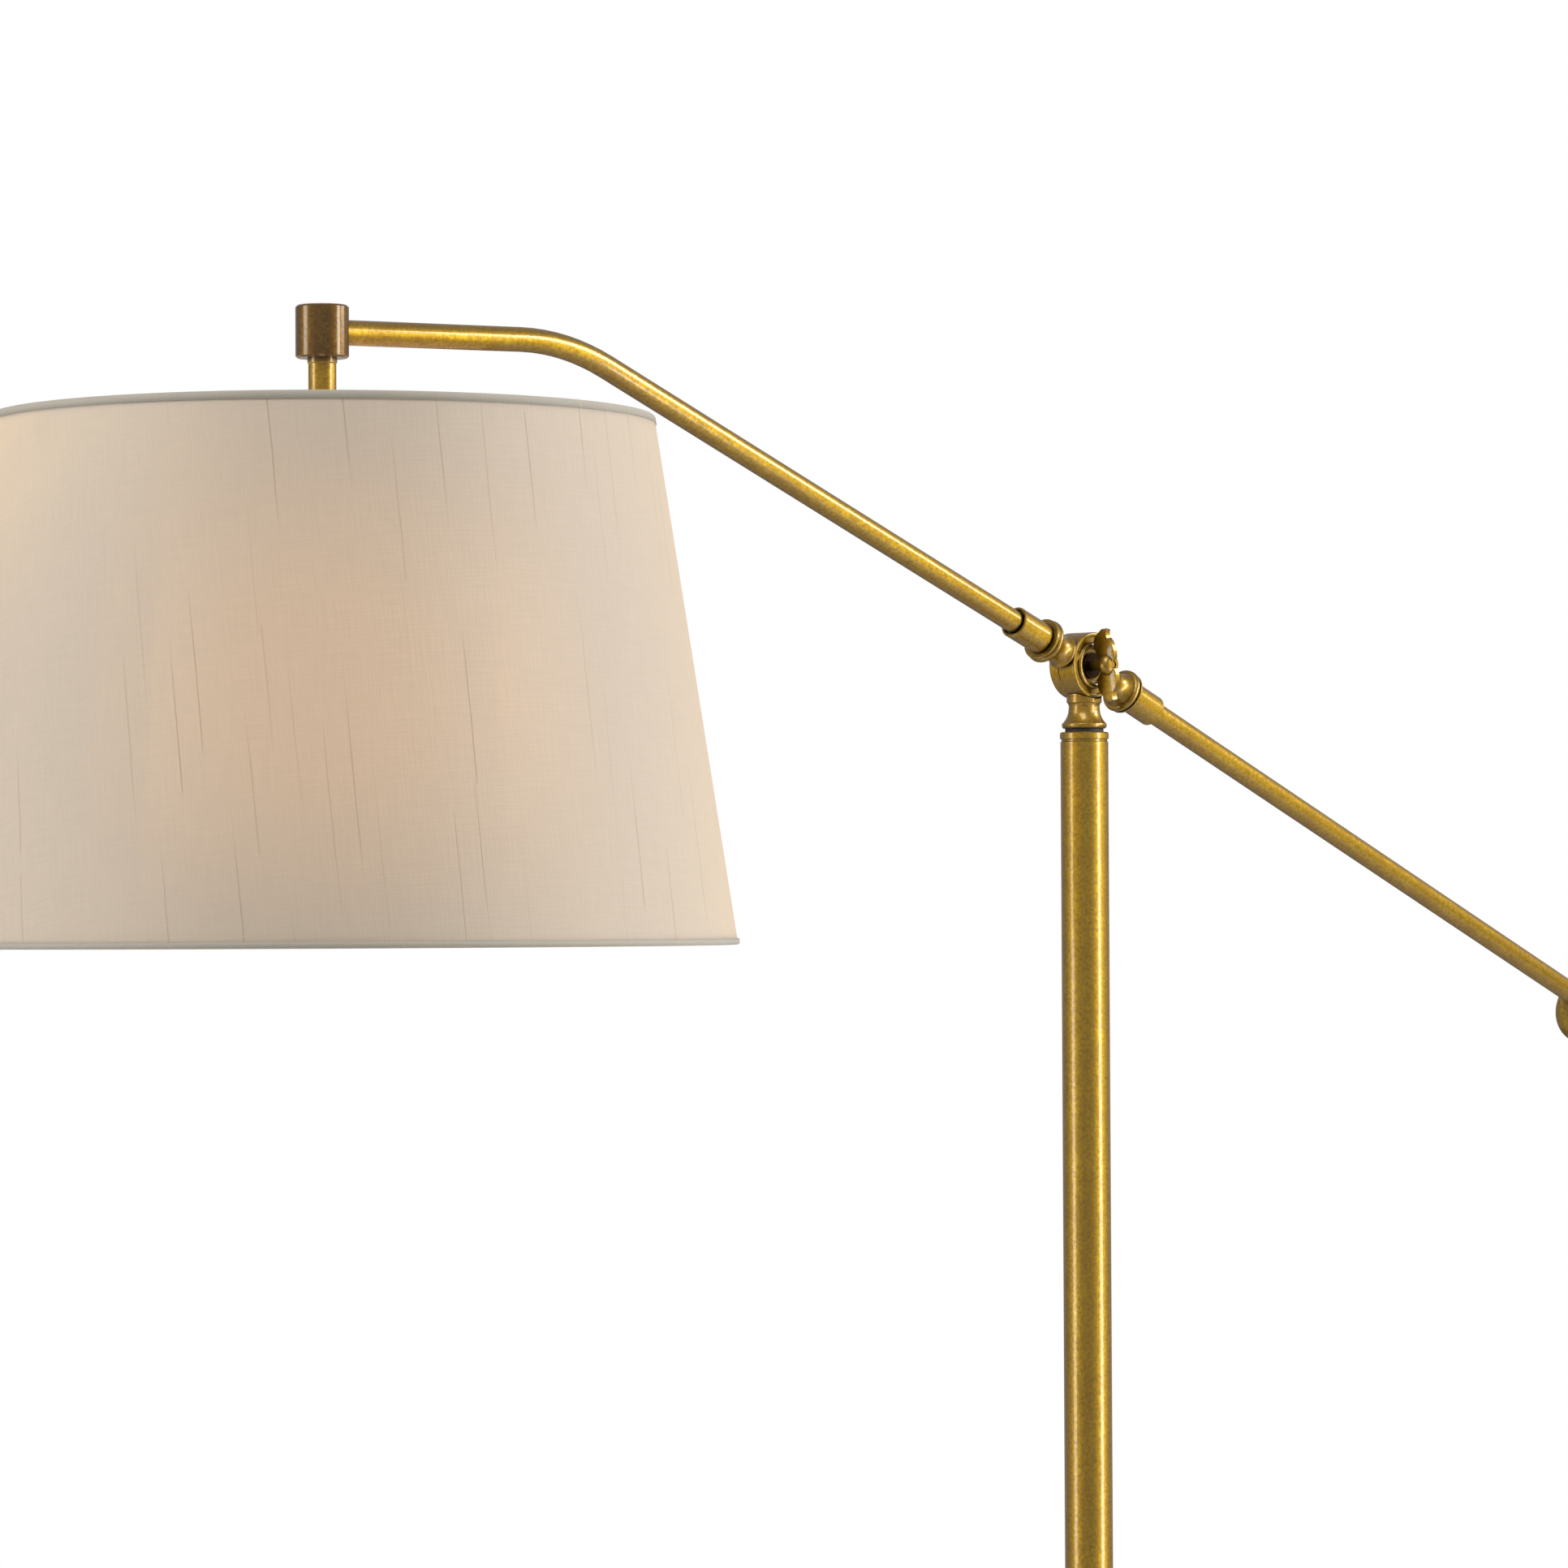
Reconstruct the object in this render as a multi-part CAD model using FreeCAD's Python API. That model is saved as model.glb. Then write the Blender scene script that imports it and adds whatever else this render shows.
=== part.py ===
import FreeCAD, Part
import math
import os

# Bridge floor lamp: a weighted round base, a straight pole, and a counterweighted
# arm that tilts in a brass knuckle and swivels on top of the pole. The shade hangs
# upright from the arm's front end, with its lamp holder and bulb inside.
#
# Frame: origin on the floor, on the pole's axis. +Z is up, the shade is towards -X,
# the counterweight towards +X, and the wing nut of the knuckle faces -Y.
# All lengths are in millimetres and all angles in degrees.

os.makedirs("parts", exist_ok=True)
V = FreeCAD.Vector

# ---- clearances ----
RUN_FIT = 0.05          # radial, between a shaft and the hole that it turns in
SEAT_FIT = 0.05         # radial, between pieces that are screwed or pressed together
FACE_GAP = 0.1          # between flat faces that turn on each other
OPEN_GAP = 0.3          # between curved faces that pass each other
EASE = 0.3              # broken edge of a turned piece

# ---- the arm's line ----
PIVOT_HEIGHT = 1350.0   # tilt axis above the floor
FRONT_RISE = 20.8       # the front arm climbs away from the knuckle
REAR_FALL = 22.3        # the rear arm falls away from it
BEND_REACH = 388.0      # from the pole to the corner of the front arm's bend
BEND_RADIUS = 150.0
STUB_FALL = 2.1         # the last stretch droops towards the shade
HEAD_REACH = 548.0      # from the pole to the axis of the shade
ARM_TUBE_D = 12.0
ARM_TUBE_WALL = 1.0
REAR_LENGTH = 512.0     # from the tilt axis to the rear tube's end

# ---- base ----
BASE_D = 280.0
BASE_LIP = 0.8          # the cover's rim clears the floor by this
BASE_WALL_TOP = 17.0    # top of the cover's upright wall
BASE_SHOULDER = 5.0     # radius of the rounded shoulder
BASE_LEDGE = 9.0        # width of the flat ledge inside the shoulder
BASE_COVE = 6.0         # radius of the hollow step up to the dome
BASE_RISE = 4.0         # from the step to the pole foot
COVER_WALL = 1.2
FELT_THICKNESS = 2.5
FELT_INSET = 4.0
WEIGHT_GAP = 0.4
NUT_RECESS_D = 46.0
NUT_RECESS_DEPTH = 10.0
TIE_D = 12.0            # hollow threaded tie through the base
TIE_BORE_D = 8.0
TIE_ENGAGEMENT = 20.0
BASE_WASHER_D = 34.0
BASE_WASHER_THICKNESS = 1.6
BASE_NUT_FLATS = 19.0
BASE_NUT_HEIGHT = 5.0
GLAND_HEIGHT = 9.5
GLAND_D = 9.2
GLAND_BORE_D = 7.2
GLAND_FLANGE_D = 12.6
GLAND_FLANGE = 2.2
GLAND_DEPTH = 12.0
CHANNEL_WIDTH = 10.4

# ---- pole ----
POLE_D = 25.4
POLE_WALL = 1.2
POLE_JOINT_HEIGHT = 690.0
POLE_JOINER_LENGTH = 60.0
POLE_CHAMFER = 0.3
FOOT_D = 62.0
FOOT_HEIGHT = 24.0
FOOT_FLOOR = 4.0
FOOT_NECK_WALL = 2.6
FOOT_BEAD_D = 37.0

# ---- pole top and swivel ----
COLLAR_D = 25.9
COLLAR_TOP_DROP = 35.3  # below the tilt axis
COLLAR_HEIGHT = 3.7
COLLAR_GROOVE = 1.2
COLLAR_GROOVE_D = 24.4
COLLAR_BEVEL = 0.6
BUSH_LENGTH = 36.0
SPIGOT_D = 14.0
SPIGOT_BORE_D = 7.0
SPIGOT_LENGTH = 34.0
SWIVEL_WASHER_D = 20.4
SWIVEL_WASHER = 1.8
SWIVEL_RANGE = 150.0    # each way
STOP_SCREW_DROP = 60.0
STOP_SCREW_D = 4.0
DOG_D = 3.0
STOP_SCREW_SINK = 0.4
SOCKET_DEPTH = 1.8
SWIVEL_GROOVE_DEPTH = 1.8

# ---- neck ----
NECK_BEAD_D = 23.8
NECK_BEAD_HEIGHT = 2.6
NECK_BEAD_FOOT = 0.8
SPIGOT_BEVEL = 0.6
SADDLE_DEPTH = 2.0      # the neck runs this far into the back half
NECK_COVE = 11.0
NECK_WAIST_D = 16.5
NECK_WAIST_DROP = 22.7
NECK_LIP_D = 18.6
NECK_LIP_DROP = 19.5
NECK_LIP_CURVE = (0.25, 1.0)    # the lip's curve passes this far out and below

# ---- knuckle, measured along the tilt axis from the arm's line ----
KNUCKLE_D = 35.0
DRUM_FRONT = 7.8        # front rim, on the wing nut's side
DRUM_SEAM = 3.0         # joint face, on the far side
KNUCKLE_BACK = 9.8
RIM_WIDTH = 1.8
RING_OUTER_D = 25.0
RING_INNER_D = 18.0
RIM_GROOVE = 1.6
RIM_BEVEL = 0.5
RECESS_DEPTH = 2.6
CHAMBER_D = 16.0
CHAMBER_LAND = 2.6
BACK_CHAMBER = 3.4
FRICTION_D = 22.0
FRICTION_INNER_D = 17.0
FRICTION_THICKNESS = 1.2
TILT_UP = 12.0          # front arm up from rest
TILT_DOWN = 35.0        # front arm down from rest
STOP_PIN_D = 2.5
STOP_PIN_RADIUS = 13.6
STOP_PIN_SEAT = 4.0
STOP_SLOT_DEPTH = 1.9
BOLT_D = 8.0
BOLT_THREAD_D = 4.0
BOLT_HEAD_D = 16.0
BOLT_HEAD = 3.4
BOLT_HEAD_EDGE = 0.8
CHEEK_ROUND = 1.4       # turned edge of the back half
CHEEK_RIM = 1.6         # flat rim inside that edge
CHEEK_SINK = 0.7        # the back face lies this much below its rim
CHEEK_BEVEL = 0.6
BOLT_SEAT_EDGE = 0.5    # half the land left round the bolt's head
DRUM_ROUND = 0.9
BOLT_SLOT_WIDTH = 1.6
BOLT_SLOT_DEPTH = 1.2
CLAMP_WASHER_D = 14.0
CLAMP_WASHER = 1.2

# ---- wing nut, measured outwards along the tilt axis ----
NUT_SLEEVE_D = 5.6
NUT_HUB_START = 14.3    # hub's collar, from the arm's line
NUT_COLLAR_D = 9.2
NUT_HUB_D = 11.7
NUT_HUB_LENGTH = 6.3
NUT_FACE_D = 6.8
WING_SPAN = 38.4
WING_TURN = 8.7         # the upper wing leans towards the shade
WING_THICKNESS = 3.8
WING_EDGE = 1.3
WING_LENS = 8.4         # half the chord of the wing's lens-shaped section
WING_SEAT = 0.37        # share of the hub's length where the wings stand
NUT_BULGE_START = 1.9   # the hub swells to its full size over this length
NUT_BULGE_END = 2.6
NUT_FACE_EDGE = 1.2
NUT_FACE_ROUND = 1.7

# ---- couplers and sleeves, measured along the arm from the tilt axis ----
TENON_D = 5.6           # screws into the drum
TENON_BORE_D = 3.2
SEAT_BOSS_D = 13.6
FLANGE_D = 18.0
FLANGE_LENGTH = 2.4
COUPLER_WAIST_D = 14.8
BEAD_START = 31.4
BEAD_LENGTH = 4.0
BEAD_D = 23.6
BEAD_GROOVE = 0.6
BEAD_GROOVE_D = 21.0
RING_D = 22.6
RING_LENGTH = 1.3
SLEEVE_GAP = 0.7
SLEEVE_D = 16.8
SLEEVE_END = 60.5
SLEEVE_TENON_D = 14.0
SLEEVE_TENON_LENGTH = 9.6
SLEEVE_MOUTH_D = 14.4
SLEEVE_MOUTH_DEPTH = 1.6
COUPLER_BORE_D = 7.0
FLANGE_BEVEL = 0.6
FLANGE_CROWN = 0.9
FLANGE_LIP = 0.5
BEAD_FOOT = 0.8         # the waist runs into the bead this far below its groove
BEAD_CROWN = 0.55       # share of the bead's length where it is widest
SLEEVE_BEVEL = 0.5

# ---- counterweight ----
COUNTERWEIGHT_D = 46.0
COUNTERWEIGHT_LENGTH = 50.0
COUNTERWEIGHT_ROUND = 7.0
COUNTERWEIGHT_GRIP = 38.0
COUNTERWEIGHT_COLLAR_D = 20.0
COUNTERWEIGHT_COLLAR = 11.0
WEIGHT_BEVEL = 0.6
WEIGHT_FILLET = 2.0
BAND_INSET = 3.0
BAND_SLOPE = 0.4
GRUB_PLACE = 0.4        # share of the collar's length
GRUB_SOCKET = 2.0
BAND_WIDTH = 2.0
BAND_DEPTH = 0.9
FINIAL_D = 15.0
FINIAL_NECK_D = 8.4
FINIAL_NECK = 2.4
FINIAL_FOOT_D = 11.4
FINIAL_FOOT = 1.6
FINIAL_STUD_D = 5.0
FINIAL_STUD = 12.0
GRUB_D = 4.0

# ---- arm's end cap and stem, heights from the tilt axis ----
CAP_D = 25.0
CAP_HEIGHT = 24.6
CAP_CHAMFER = 0.9
CAP_CAVITY_D = 10.0
STEM_D = 13.1
STEM_WALL = 1.4
STEM_SEAT = 6.0
STEM_SHOULDER_D = 13.9
STEM_SHOULDER = 2.6

# ---- shade ----
SHADE_TOP_D = 310.0
SHADE_BOTTOM_D = 386.0
SHADE_HEIGHT = 246.0
SHADE_TOP = 101.7
TRIM_THICKNESS = 0.5
TOP_TRIM = 3.8
BOTTOM_TRIM = 2.4
FABRIC_THICKNESS = 0.6
LINER_THICKNESS = 0.5
RING_WIRE_D = 3.0
SPIDER_ARMS = 3
SPIDER_DROP = 21.0      # from the top ring to the fitter ring
SPIDER_FLAT = 14.0
SPIDER_BEND = 12.0
FITTER_D = 32.0
FITTER_THICKNESS = 2.0
NIPPLE_D = 10.0
NIPPLE_BORE_D = 7.0
NIPPLE_RISE = 16.0
SHADE_WASHER_D = 22.0
SHADE_WASHER = 1.2
SHADE_NUT_FLATS = 16.0
SHADE_NUT = 5.0

# ---- lamp holder and bulb ----
HOLDER_D = 38.0
HOLDER_WALL = 0.6
HOLDER_CAP_HEIGHT = 20.0
HOLDER_CAP_NECK_D = 15.0
HOLDER_CAP_NECK = 5.0
HOLDER_OVERLAP = 4.0
HOLDER_LENGTH = 44.0
LINING_THICKNESS = 0.7
BLOCK_LENGTH = 10.0
CONTACT_D = 8.0
CONTACT_THICKNESS = 1.0
SCREW_SHELL_D = 27.4
SCREW_SHELL_WALL = 0.5
SCREW_SHELL_LENGTH = 27.0
BULB_CAP_D = 26.0
BULB_CAP_LENGTH = 26.0
BULB_D = 60.0
BULB_LENGTH = 108.0
BULB_WALL = 0.9
BULB_CAP_WALL = 2.0
BULB_BUTTON = 1.4
BULB_CONE = 3.4
BULB_NECK = 15.0
BULB_NECK_FLARE = 1.9
BULB_GLOBE_END = 52.0   # angle up the globe where the neck's curve begins
KNOB_D = 10.0
KNOB_LENGTH = 12.0
KNOB_FLUTES = 10
KNOB_FLUTE_D = 1.8
SPINDLE_D = 3.2
SPINDLE_DEPTH = 8.0
KNOB_CLEARANCE = 0.6


# ---- drawing helpers ----
def bow(centre, radius, first, last):
    """An arc step: its middle and end point, about centre, between two angles."""
    points = []
    for angle in ((first + last) / 2, last):
        turn = math.radians(angle)
        points.append((centre[0] + radius * math.cos(turn), centre[1] + radius * math.sin(turn)))
    return tuple(points)


def dome(rim, top):
    """An arc step from a rim point up or down to the axis, round a centre on the axis."""
    rise = top - rim[1]
    radius = (rim[0] ** 2 + rise ** 2) / (2 * rise)
    centre = (0, top - radius)
    first = math.degrees(math.atan2(rim[1] - centre[1], rim[0]))
    return bow(centre, abs(radius), first, math.copysign(90, rise))


def outline(start, *steps):
    """A closed outline in the X-Z plane. A step is a point, or an arc's middle and end."""
    edges = []
    here = V(start[0], 0, start[1])
    for step in steps + (start,):
        curved = isinstance(step[0], tuple)
        point = step[1] if curved else step
        there = V(point[0], 0, point[1])
        if curved:
            middle = V(step[0][0], 0, step[0][1])
            edges.append(Part.Arc(here, middle, there).toShape())
        elif here.distanceToPoint(there) > 1e-6:
            edges.append(Part.LineSegment(here, there).toShape())
        here = there
    return Part.Face(Part.Wire(edges))


def turned(start, *steps):
    """A turned solid about Z, from its half outline of (radius, height)."""
    return outline(start, *steps).revolve(V(0, 0, 0), V(0, 0, 1), 360)


def rod(radius, low, high):
    """A round bar on the Z axis."""
    return Part.makeCylinder(radius, high - low, V(0, 0, low))


def tube(outer, inner, low, high):
    """A round tube on the Z axis, from its two radii."""
    return turned((inner, low), (outer, low), (outer, high), (inner, high))


def hexagon(flats, hole, low, high):
    """A plain hexagon nut on the Z axis."""
    corner = flats / 2 / math.cos(math.radians(30))
    points = [V(corner, 0, low)]
    for side in range(1, 7):
        turn = math.radians(60 * side)
        points.append(V(corner * math.cos(turn), corner * math.sin(turn), low))
    nut = Part.Face(Part.makePolygon(points)).extrude(V(0, 0, high - low))
    return nut.cut(rod(hole, low - 1, high + 1))


def bent_path(points, radius):
    """Straight runs joined by tangent arcs, through corners in the X-Z plane."""
    edges = []
    here = V(points[0][0], 0, points[0][1])
    for before, corner, after in zip(points, points[1:], points[2:]):
        at = V(corner[0], 0, corner[1])
        back = (V(before[0], 0, before[1]) - at).normalize()
        ahead = (V(after[0], 0, after[1]) - at).normalize()
        half = back.getAngle(ahead) / 2
        reach = radius / math.tan(half)
        first = at + back * reach
        last = at + ahead * reach
        inward = (back + ahead).normalize()
        middle = at + inward * (radius / math.sin(half) - radius)
        edges.append(Part.LineSegment(here, first).toShape())
        edges.append(Part.Arc(first, middle, last).toShape())
        here = last
    end = V(points[-1][0], 0, points[-1][1])
    edges.append(Part.LineSegment(here, end).toShape())
    return Part.Wire(edges)


def along_path(path, radius):
    """A round bar that follows a path."""
    start = path.Edges[0].valueAt(path.Edges[0].FirstParameter)
    ahead = path.Edges[0].tangentAt(path.Edges[0].FirstParameter)
    ring = Part.Wire(Part.makeCircle(radius, start, ahead))
    return path.makePipeShell([ring], True, False)


# ---- places ----
def at_pivot(shape):
    """From heights about the tilt axis to heights above the floor."""
    return shape.translated(V(0, 0, PIVOT_HEIGHT))


def on_front_arm(shape):
    """Lay local Z along the front arm, outwards from the tilt axis."""
    return at_pivot(shape.rotated(V(0, 0, 0), V(0, 1, 0), FRONT_RISE - 90))


def on_rear_arm(shape):
    """Lay local Z along the rear arm, outwards from the tilt axis."""
    return at_pivot(shape.rotated(V(0, 0, 0), V(0, 1, 0), REAR_FALL + 90))


def on_tilt_axis(shape):
    """Lay local Z along the tilt axis, outwards through the wing nut."""
    return at_pivot(shape.rotated(V(0, 0, 0), V(1, 0, 0), 90))


def on_head(shape):
    """From heights about the tilt axis on the Z axis to the shade's axis."""
    return at_pivot(shape.translated(V(-HEAD_REACH, 0, 0)))


# ---- derived sizes ----
POLE_R = POLE_D / 2
POLE_INNER_R = POLE_R - POLE_WALL
KNUCKLE_R = KNUCKLE_D / 2
RECESS_FLOOR = DRUM_FRONT - RECESS_DEPTH
FLANGE_START = KNUCKLE_R + OPEN_GAP
RING_START = BEAD_START + BEAD_LENGTH + BEAD_GROOVE
RING_END = RING_START + RING_LENGTH
SLEEVE_START = RING_END + SLEEVE_GAP
TUBE_START = SLEEVE_START + SLEEVE_TENON_LENGTH
BASE_TOP = BASE_WALL_TOP + BASE_SHOULDER + BASE_COVE + BASE_RISE
FOOT_SEAT = BASE_TOP + FOOT_FLOOR
COLLAR_BOTTOM_DROP = COLLAR_TOP_DROP + COLLAR_HEIGHT
POLE_TOP = PIVOT_HEIGHT - COLLAR_BOTTOM_DROP - COLLAR_GROOVE
SHOULDER_DROP = COLLAR_TOP_DROP - SWIVEL_WASHER - FACE_GAP
BEND_HEIGHT = BEND_REACH * math.tan(math.radians(FRONT_RISE))
STUB_HEIGHT = BEND_HEIGHT - (HEAD_REACH - BEND_REACH) * math.tan(math.radians(STUB_FALL))
CAP_BOTTOM = STUB_HEIGHT - CAP_HEIGHT / 2
CAP_TOP = STUB_HEIGHT + CAP_HEIGHT / 2
SHADE_BOTTOM = SHADE_TOP - SHADE_HEIGHT
SHADE_LEAN = math.atan((SHADE_BOTTOM_D - SHADE_TOP_D) / 2 / SHADE_HEIGHT)
WIRE_R = RING_WIRE_D / 2
TOP_WIRE_HEIGHT = SHADE_TOP - TRIM_THICKNESS - SEAT_FIT - WIRE_R
FITTER_TOP = TOP_WIRE_HEIGHT - SPIDER_DROP + FITTER_THICKNESS / 2
WASHER_TOP = FITTER_TOP - FITTER_THICKNESS
SHADE_NUT_TOP = WASHER_TOP - SHADE_WASHER
HOLDER_TOP = SHADE_NUT_TOP - SHADE_NUT
HOLDER_SHOULDER = HOLDER_TOP - HOLDER_CAP_HEIGHT
HOLDER_R = HOLDER_D / 2
SHELL_TOP = HOLDER_SHOULDER + HOLDER_OVERLAP
SHELL_R = HOLDER_R - HOLDER_WALL - SEAT_FIT
HOLDER_MOUTH = SHELL_TOP - HOLDER_LENGTH
LINING_R = SHELL_R - HOLDER_WALL - SEAT_FIT
BLOCK_R = LINING_R - LINING_THICKNESS - SEAT_FIT
BLOCK_TOP = SHELL_TOP - 1.0
BLOCK_BOTTOM = BLOCK_TOP - BLOCK_LENGTH
BULB_TIP = BLOCK_BOTTOM - CONTACT_THICKNESS
KNOB_HEIGHT = BLOCK_TOP - BLOCK_LENGTH / 2


# ---- base ----
def cover_outline(inset, foot):
    """Base cover's skin, set in by a wall, closed down to the height foot."""
    rim = BASE_D / 2
    ledge_top = BASE_WALL_TOP + BASE_SHOULDER
    step_top = ledge_top + BASE_COVE
    shoulder = (rim - BASE_SHOULDER, BASE_WALL_TOP)
    cove = (rim - BASE_SHOULDER - BASE_LEDGE, step_top)
    cove_r = BASE_COVE + inset
    rise = math.degrees(math.asin(inset / cove_r))
    step = bow(cove, cove_r, 270, 180 + rise)
    crown = step_top + BASE_RISE * 0.7 - inset
    return turned(
        (0, foot),
        (rim - inset, foot),
        (rim - inset, BASE_WALL_TOP),
        bow(shoulder, BASE_SHOULDER - inset, 0, 90),
        (cove[0], ledge_top - inset),
        step,
        ((rim * 0.5, crown), (FOOT_D / 2, BASE_TOP - inset)),
        (0, BASE_TOP - inset),
    )


def base_cover():
    skin = cover_outline(0, BASE_LIP).cut(cover_outline(COVER_WALL, BASE_LIP - 1))
    skin = skin.cut(rod(TIE_D / 2 + SEAT_FIT, 0, BASE_TOP + 1))
    return skin.cut(gland_bar(GLAND_D / 2 + SEAT_FIT))


def gland_bar(radius):
    """A bar through the rear wall, on the gland's axis."""
    length = GLAND_DEPTH + GLAND_FLANGE
    return Part.makeCylinder(radius, length, V(BASE_D / 2 - GLAND_DEPTH, 0, GLAND_HEIGHT), V(1, 0, 0))


def base_weight():
    body = cover_outline(COVER_WALL + WEIGHT_GAP, FELT_THICKNESS)
    body = body.fuse(rod(FOOT_D / 2 - COVER_WALL, FELT_THICKNESS, BASE_TOP - COVER_WALL))
    body = body.cut(rod(NUT_RECESS_D / 2, 0, FELT_THICKNESS + NUT_RECESS_DEPTH))
    body = body.cut(rod(TIE_D / 2 + SEAT_FIT, 0, BASE_TOP + 1))
    channel_top = GLAND_HEIGHT + CHANNEL_WIDTH / 2
    channel = Part.makeBox(BASE_D, CHANNEL_WIDTH, channel_top, V(0, -CHANNEL_WIDTH / 2, 0))
    return body.cut(channel).removeSplitter()


def felt_pad():
    return rod(BASE_D / 2 - FELT_INSET, 0, FELT_THICKNESS)


WASHER_SEAT = FELT_THICKNESS + NUT_RECESS_DEPTH
TIE_BOTTOM = WASHER_SEAT - BASE_WASHER_THICKNESS - BASE_NUT_HEIGHT - 1.0


def base_washer():
    low = WASHER_SEAT - BASE_WASHER_THICKNESS
    return tube(BASE_WASHER_D / 2, TIE_D / 2 + SEAT_FIT, low, WASHER_SEAT)


def base_locknut():
    high = WASHER_SEAT - BASE_WASHER_THICKNESS
    return hexagon(BASE_NUT_FLATS, TIE_D / 2 + SEAT_FIT, high - BASE_NUT_HEIGHT, high)


def base_tie():
    return tube(TIE_D / 2, TIE_BORE_D / 2, TIE_BOTTOM, FOOT_SEAT + TIE_ENGAGEMENT)


def cord_gland():
    flange = Part.makeCylinder(
        GLAND_FLANGE_D / 2, GLAND_FLANGE + 4, V(BASE_D / 2 - 4, 0, GLAND_HEIGHT), V(1, 0, 0))
    flange = flange.cut(rod(BASE_D / 2, 0, BASE_TOP))
    return flange.fuse(gland_bar(GLAND_D / 2)).cut(gland_bar(GLAND_BORE_D / 2)).removeSplitter()


# ---- pole ----
def pole_foot():
    """Turned foot: a flat flange, a hollow curve and a bead under the pole."""
    neck_r = POLE_R + FOOT_NECK_WALL
    top = BASE_TOP + FOOT_HEIGHT
    bead_r = FOOT_BEAD_D / 2
    bead_low = top - 8.0
    cove_r = bead_low - BASE_TOP - 5.0
    return turned(
        (TIE_D / 2 + SEAT_FIT, BASE_TOP),
        (FOOT_D / 2, BASE_TOP),
        (FOOT_D / 2, BASE_TOP + 2.0),
        bow((FOOT_D / 2 - 2.0, BASE_TOP + 2.0), 2.0, 0, 90),
        (FOOT_D / 2 - 3.0, BASE_TOP + 4.0),
        (FOOT_D / 2 - 3.0, BASE_TOP + 5.0),
        ((neck_r + 3.0, BASE_TOP + 5.0 + cove_r * 0.34), (neck_r + 0.6, bead_low)),
        ((bead_r, bead_low + 2.0), (neck_r + 0.6, bead_low + 4.0)),
        (neck_r, bead_low + 4.6),
        (neck_r, top - 1.0),
        (neck_r - 1.0, top),
        (POLE_R + SEAT_FIT, top),
        (POLE_R + SEAT_FIT, FOOT_SEAT),
        (TIE_D / 2 + SEAT_FIT, FOOT_SEAT),
    )


def pole_tube(low, high):
    """A length of pole tube with its two ends eased."""
    return turned(
        (POLE_INNER_R, low),
        (POLE_R - POLE_CHAMFER, low),
        (POLE_R, low + POLE_CHAMFER),
        (POLE_R, high - POLE_CHAMFER),
        (POLE_R - POLE_CHAMFER, high),
        (POLE_INNER_R, high),
    )


def pole_lower():
    return pole_tube(FOOT_SEAT, POLE_JOINT_HEIGHT)


def foot_plug():
    return tube(POLE_INNER_R - SEAT_FIT, TIE_D / 2 + SEAT_FIT, FOOT_SEAT, FOOT_SEAT + TIE_ENGAGEMENT)


def pole_joiner():
    low = POLE_JOINT_HEIGHT - POLE_JOINER_LENGTH / 2
    return tube(POLE_INNER_R - SEAT_FIT, TIE_BORE_D / 2, low, low + POLE_JOINER_LENGTH)


def stop_screw_bar(radius, inner, outer):
    """A bar across the pole's wall at the swivel's stop screw, on the +Y side."""
    height = PIVOT_HEIGHT - STOP_SCREW_DROP
    return Part.makeCylinder(radius, outer - inner, V(0, inner, height), V(0, 1, 0))


def pole_upper():
    wall = pole_tube(POLE_JOINT_HEIGHT, POLE_TOP)
    return wall.cut(stop_screw_bar(STOP_SCREW_D / 2 + SEAT_FIT, 0, POLE_R + 1))


def swivel_bush():
    """Bush in the top of the pole, with the plain collar and its groove line."""
    bore = SPIGOT_D / 2 + RUN_FIT
    top = -COLLAR_TOP_DROP
    low = -COLLAR_BOTTOM_DROP
    seat = low - COLLAR_GROOVE
    bush = turned(
        (bore, seat - BUSH_LENGTH),
        (POLE_INNER_R - SEAT_FIT, seat - BUSH_LENGTH),
        (POLE_INNER_R - SEAT_FIT, seat),
        (COLLAR_GROOVE_D / 2, seat),
        (COLLAR_GROOVE_D / 2, low),
        (COLLAR_D / 2 - EASE, low),
        (COLLAR_D / 2, low + EASE),
        (COLLAR_D / 2, top - COLLAR_BEVEL),
        (COLLAR_D / 2 - COLLAR_BEVEL, top),
        (bore, top),
    )
    return at_pivot(bush).cut(stop_screw_bar(STOP_SCREW_D / 2 + SEAT_FIT, 0, POLE_R + 1))


def swivel_washer():
    low = -COLLAR_TOP_DROP
    return at_pivot(tube(SWIVEL_WASHER_D / 2, SPIGOT_D / 2 + RUN_FIT, low, low + SWIVEL_WASHER))


def swivel_stop_screw():
    """Socket-headed grub screw whose dog point runs in the spigot's groove."""
    root = SPIGOT_D / 2 - SWIVEL_GROOVE_DEPTH
    head = POLE_R - STOP_SCREW_SINK
    point = stop_screw_bar(DOG_D / 2, root + OPEN_GAP, head)
    body = stop_screw_bar(STOP_SCREW_D / 2, SPIGOT_D / 2 + OPEN_GAP, head)
    socket = stop_screw_bar(STOP_SCREW_D / 4, head - SOCKET_DEPTH, POLE_R)
    return body.fuse(point).cut(socket)


# ---- knuckle: the pole neck and the back half ----
def spigot_groove():
    """Groove round the spigot, interrupted by a lug that stops the swivel."""
    root = SPIGOT_D / 2 - SWIVEL_GROOVE_DEPTH
    half_dog = math.degrees(math.asin((DOG_D / 2 + OPEN_GAP) / root))
    sweep = SWIVEL_RANGE + half_dog
    half_width = DOG_D / 2 + OPEN_GAP
    face = outline(
        (root, -STOP_SCREW_DROP - half_width),
        (SPIGOT_D / 2 + 1, -STOP_SCREW_DROP - half_width),
        (SPIGOT_D / 2 + 1, -STOP_SCREW_DROP + half_width),
        (root, -STOP_SCREW_DROP + half_width),
    )
    face.rotate(V(0, 0, 0), V(0, 0, 1), 90 - sweep)
    return face.revolve(V(0, 0, 0), V(0, 0, 1), 2 * sweep)


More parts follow.
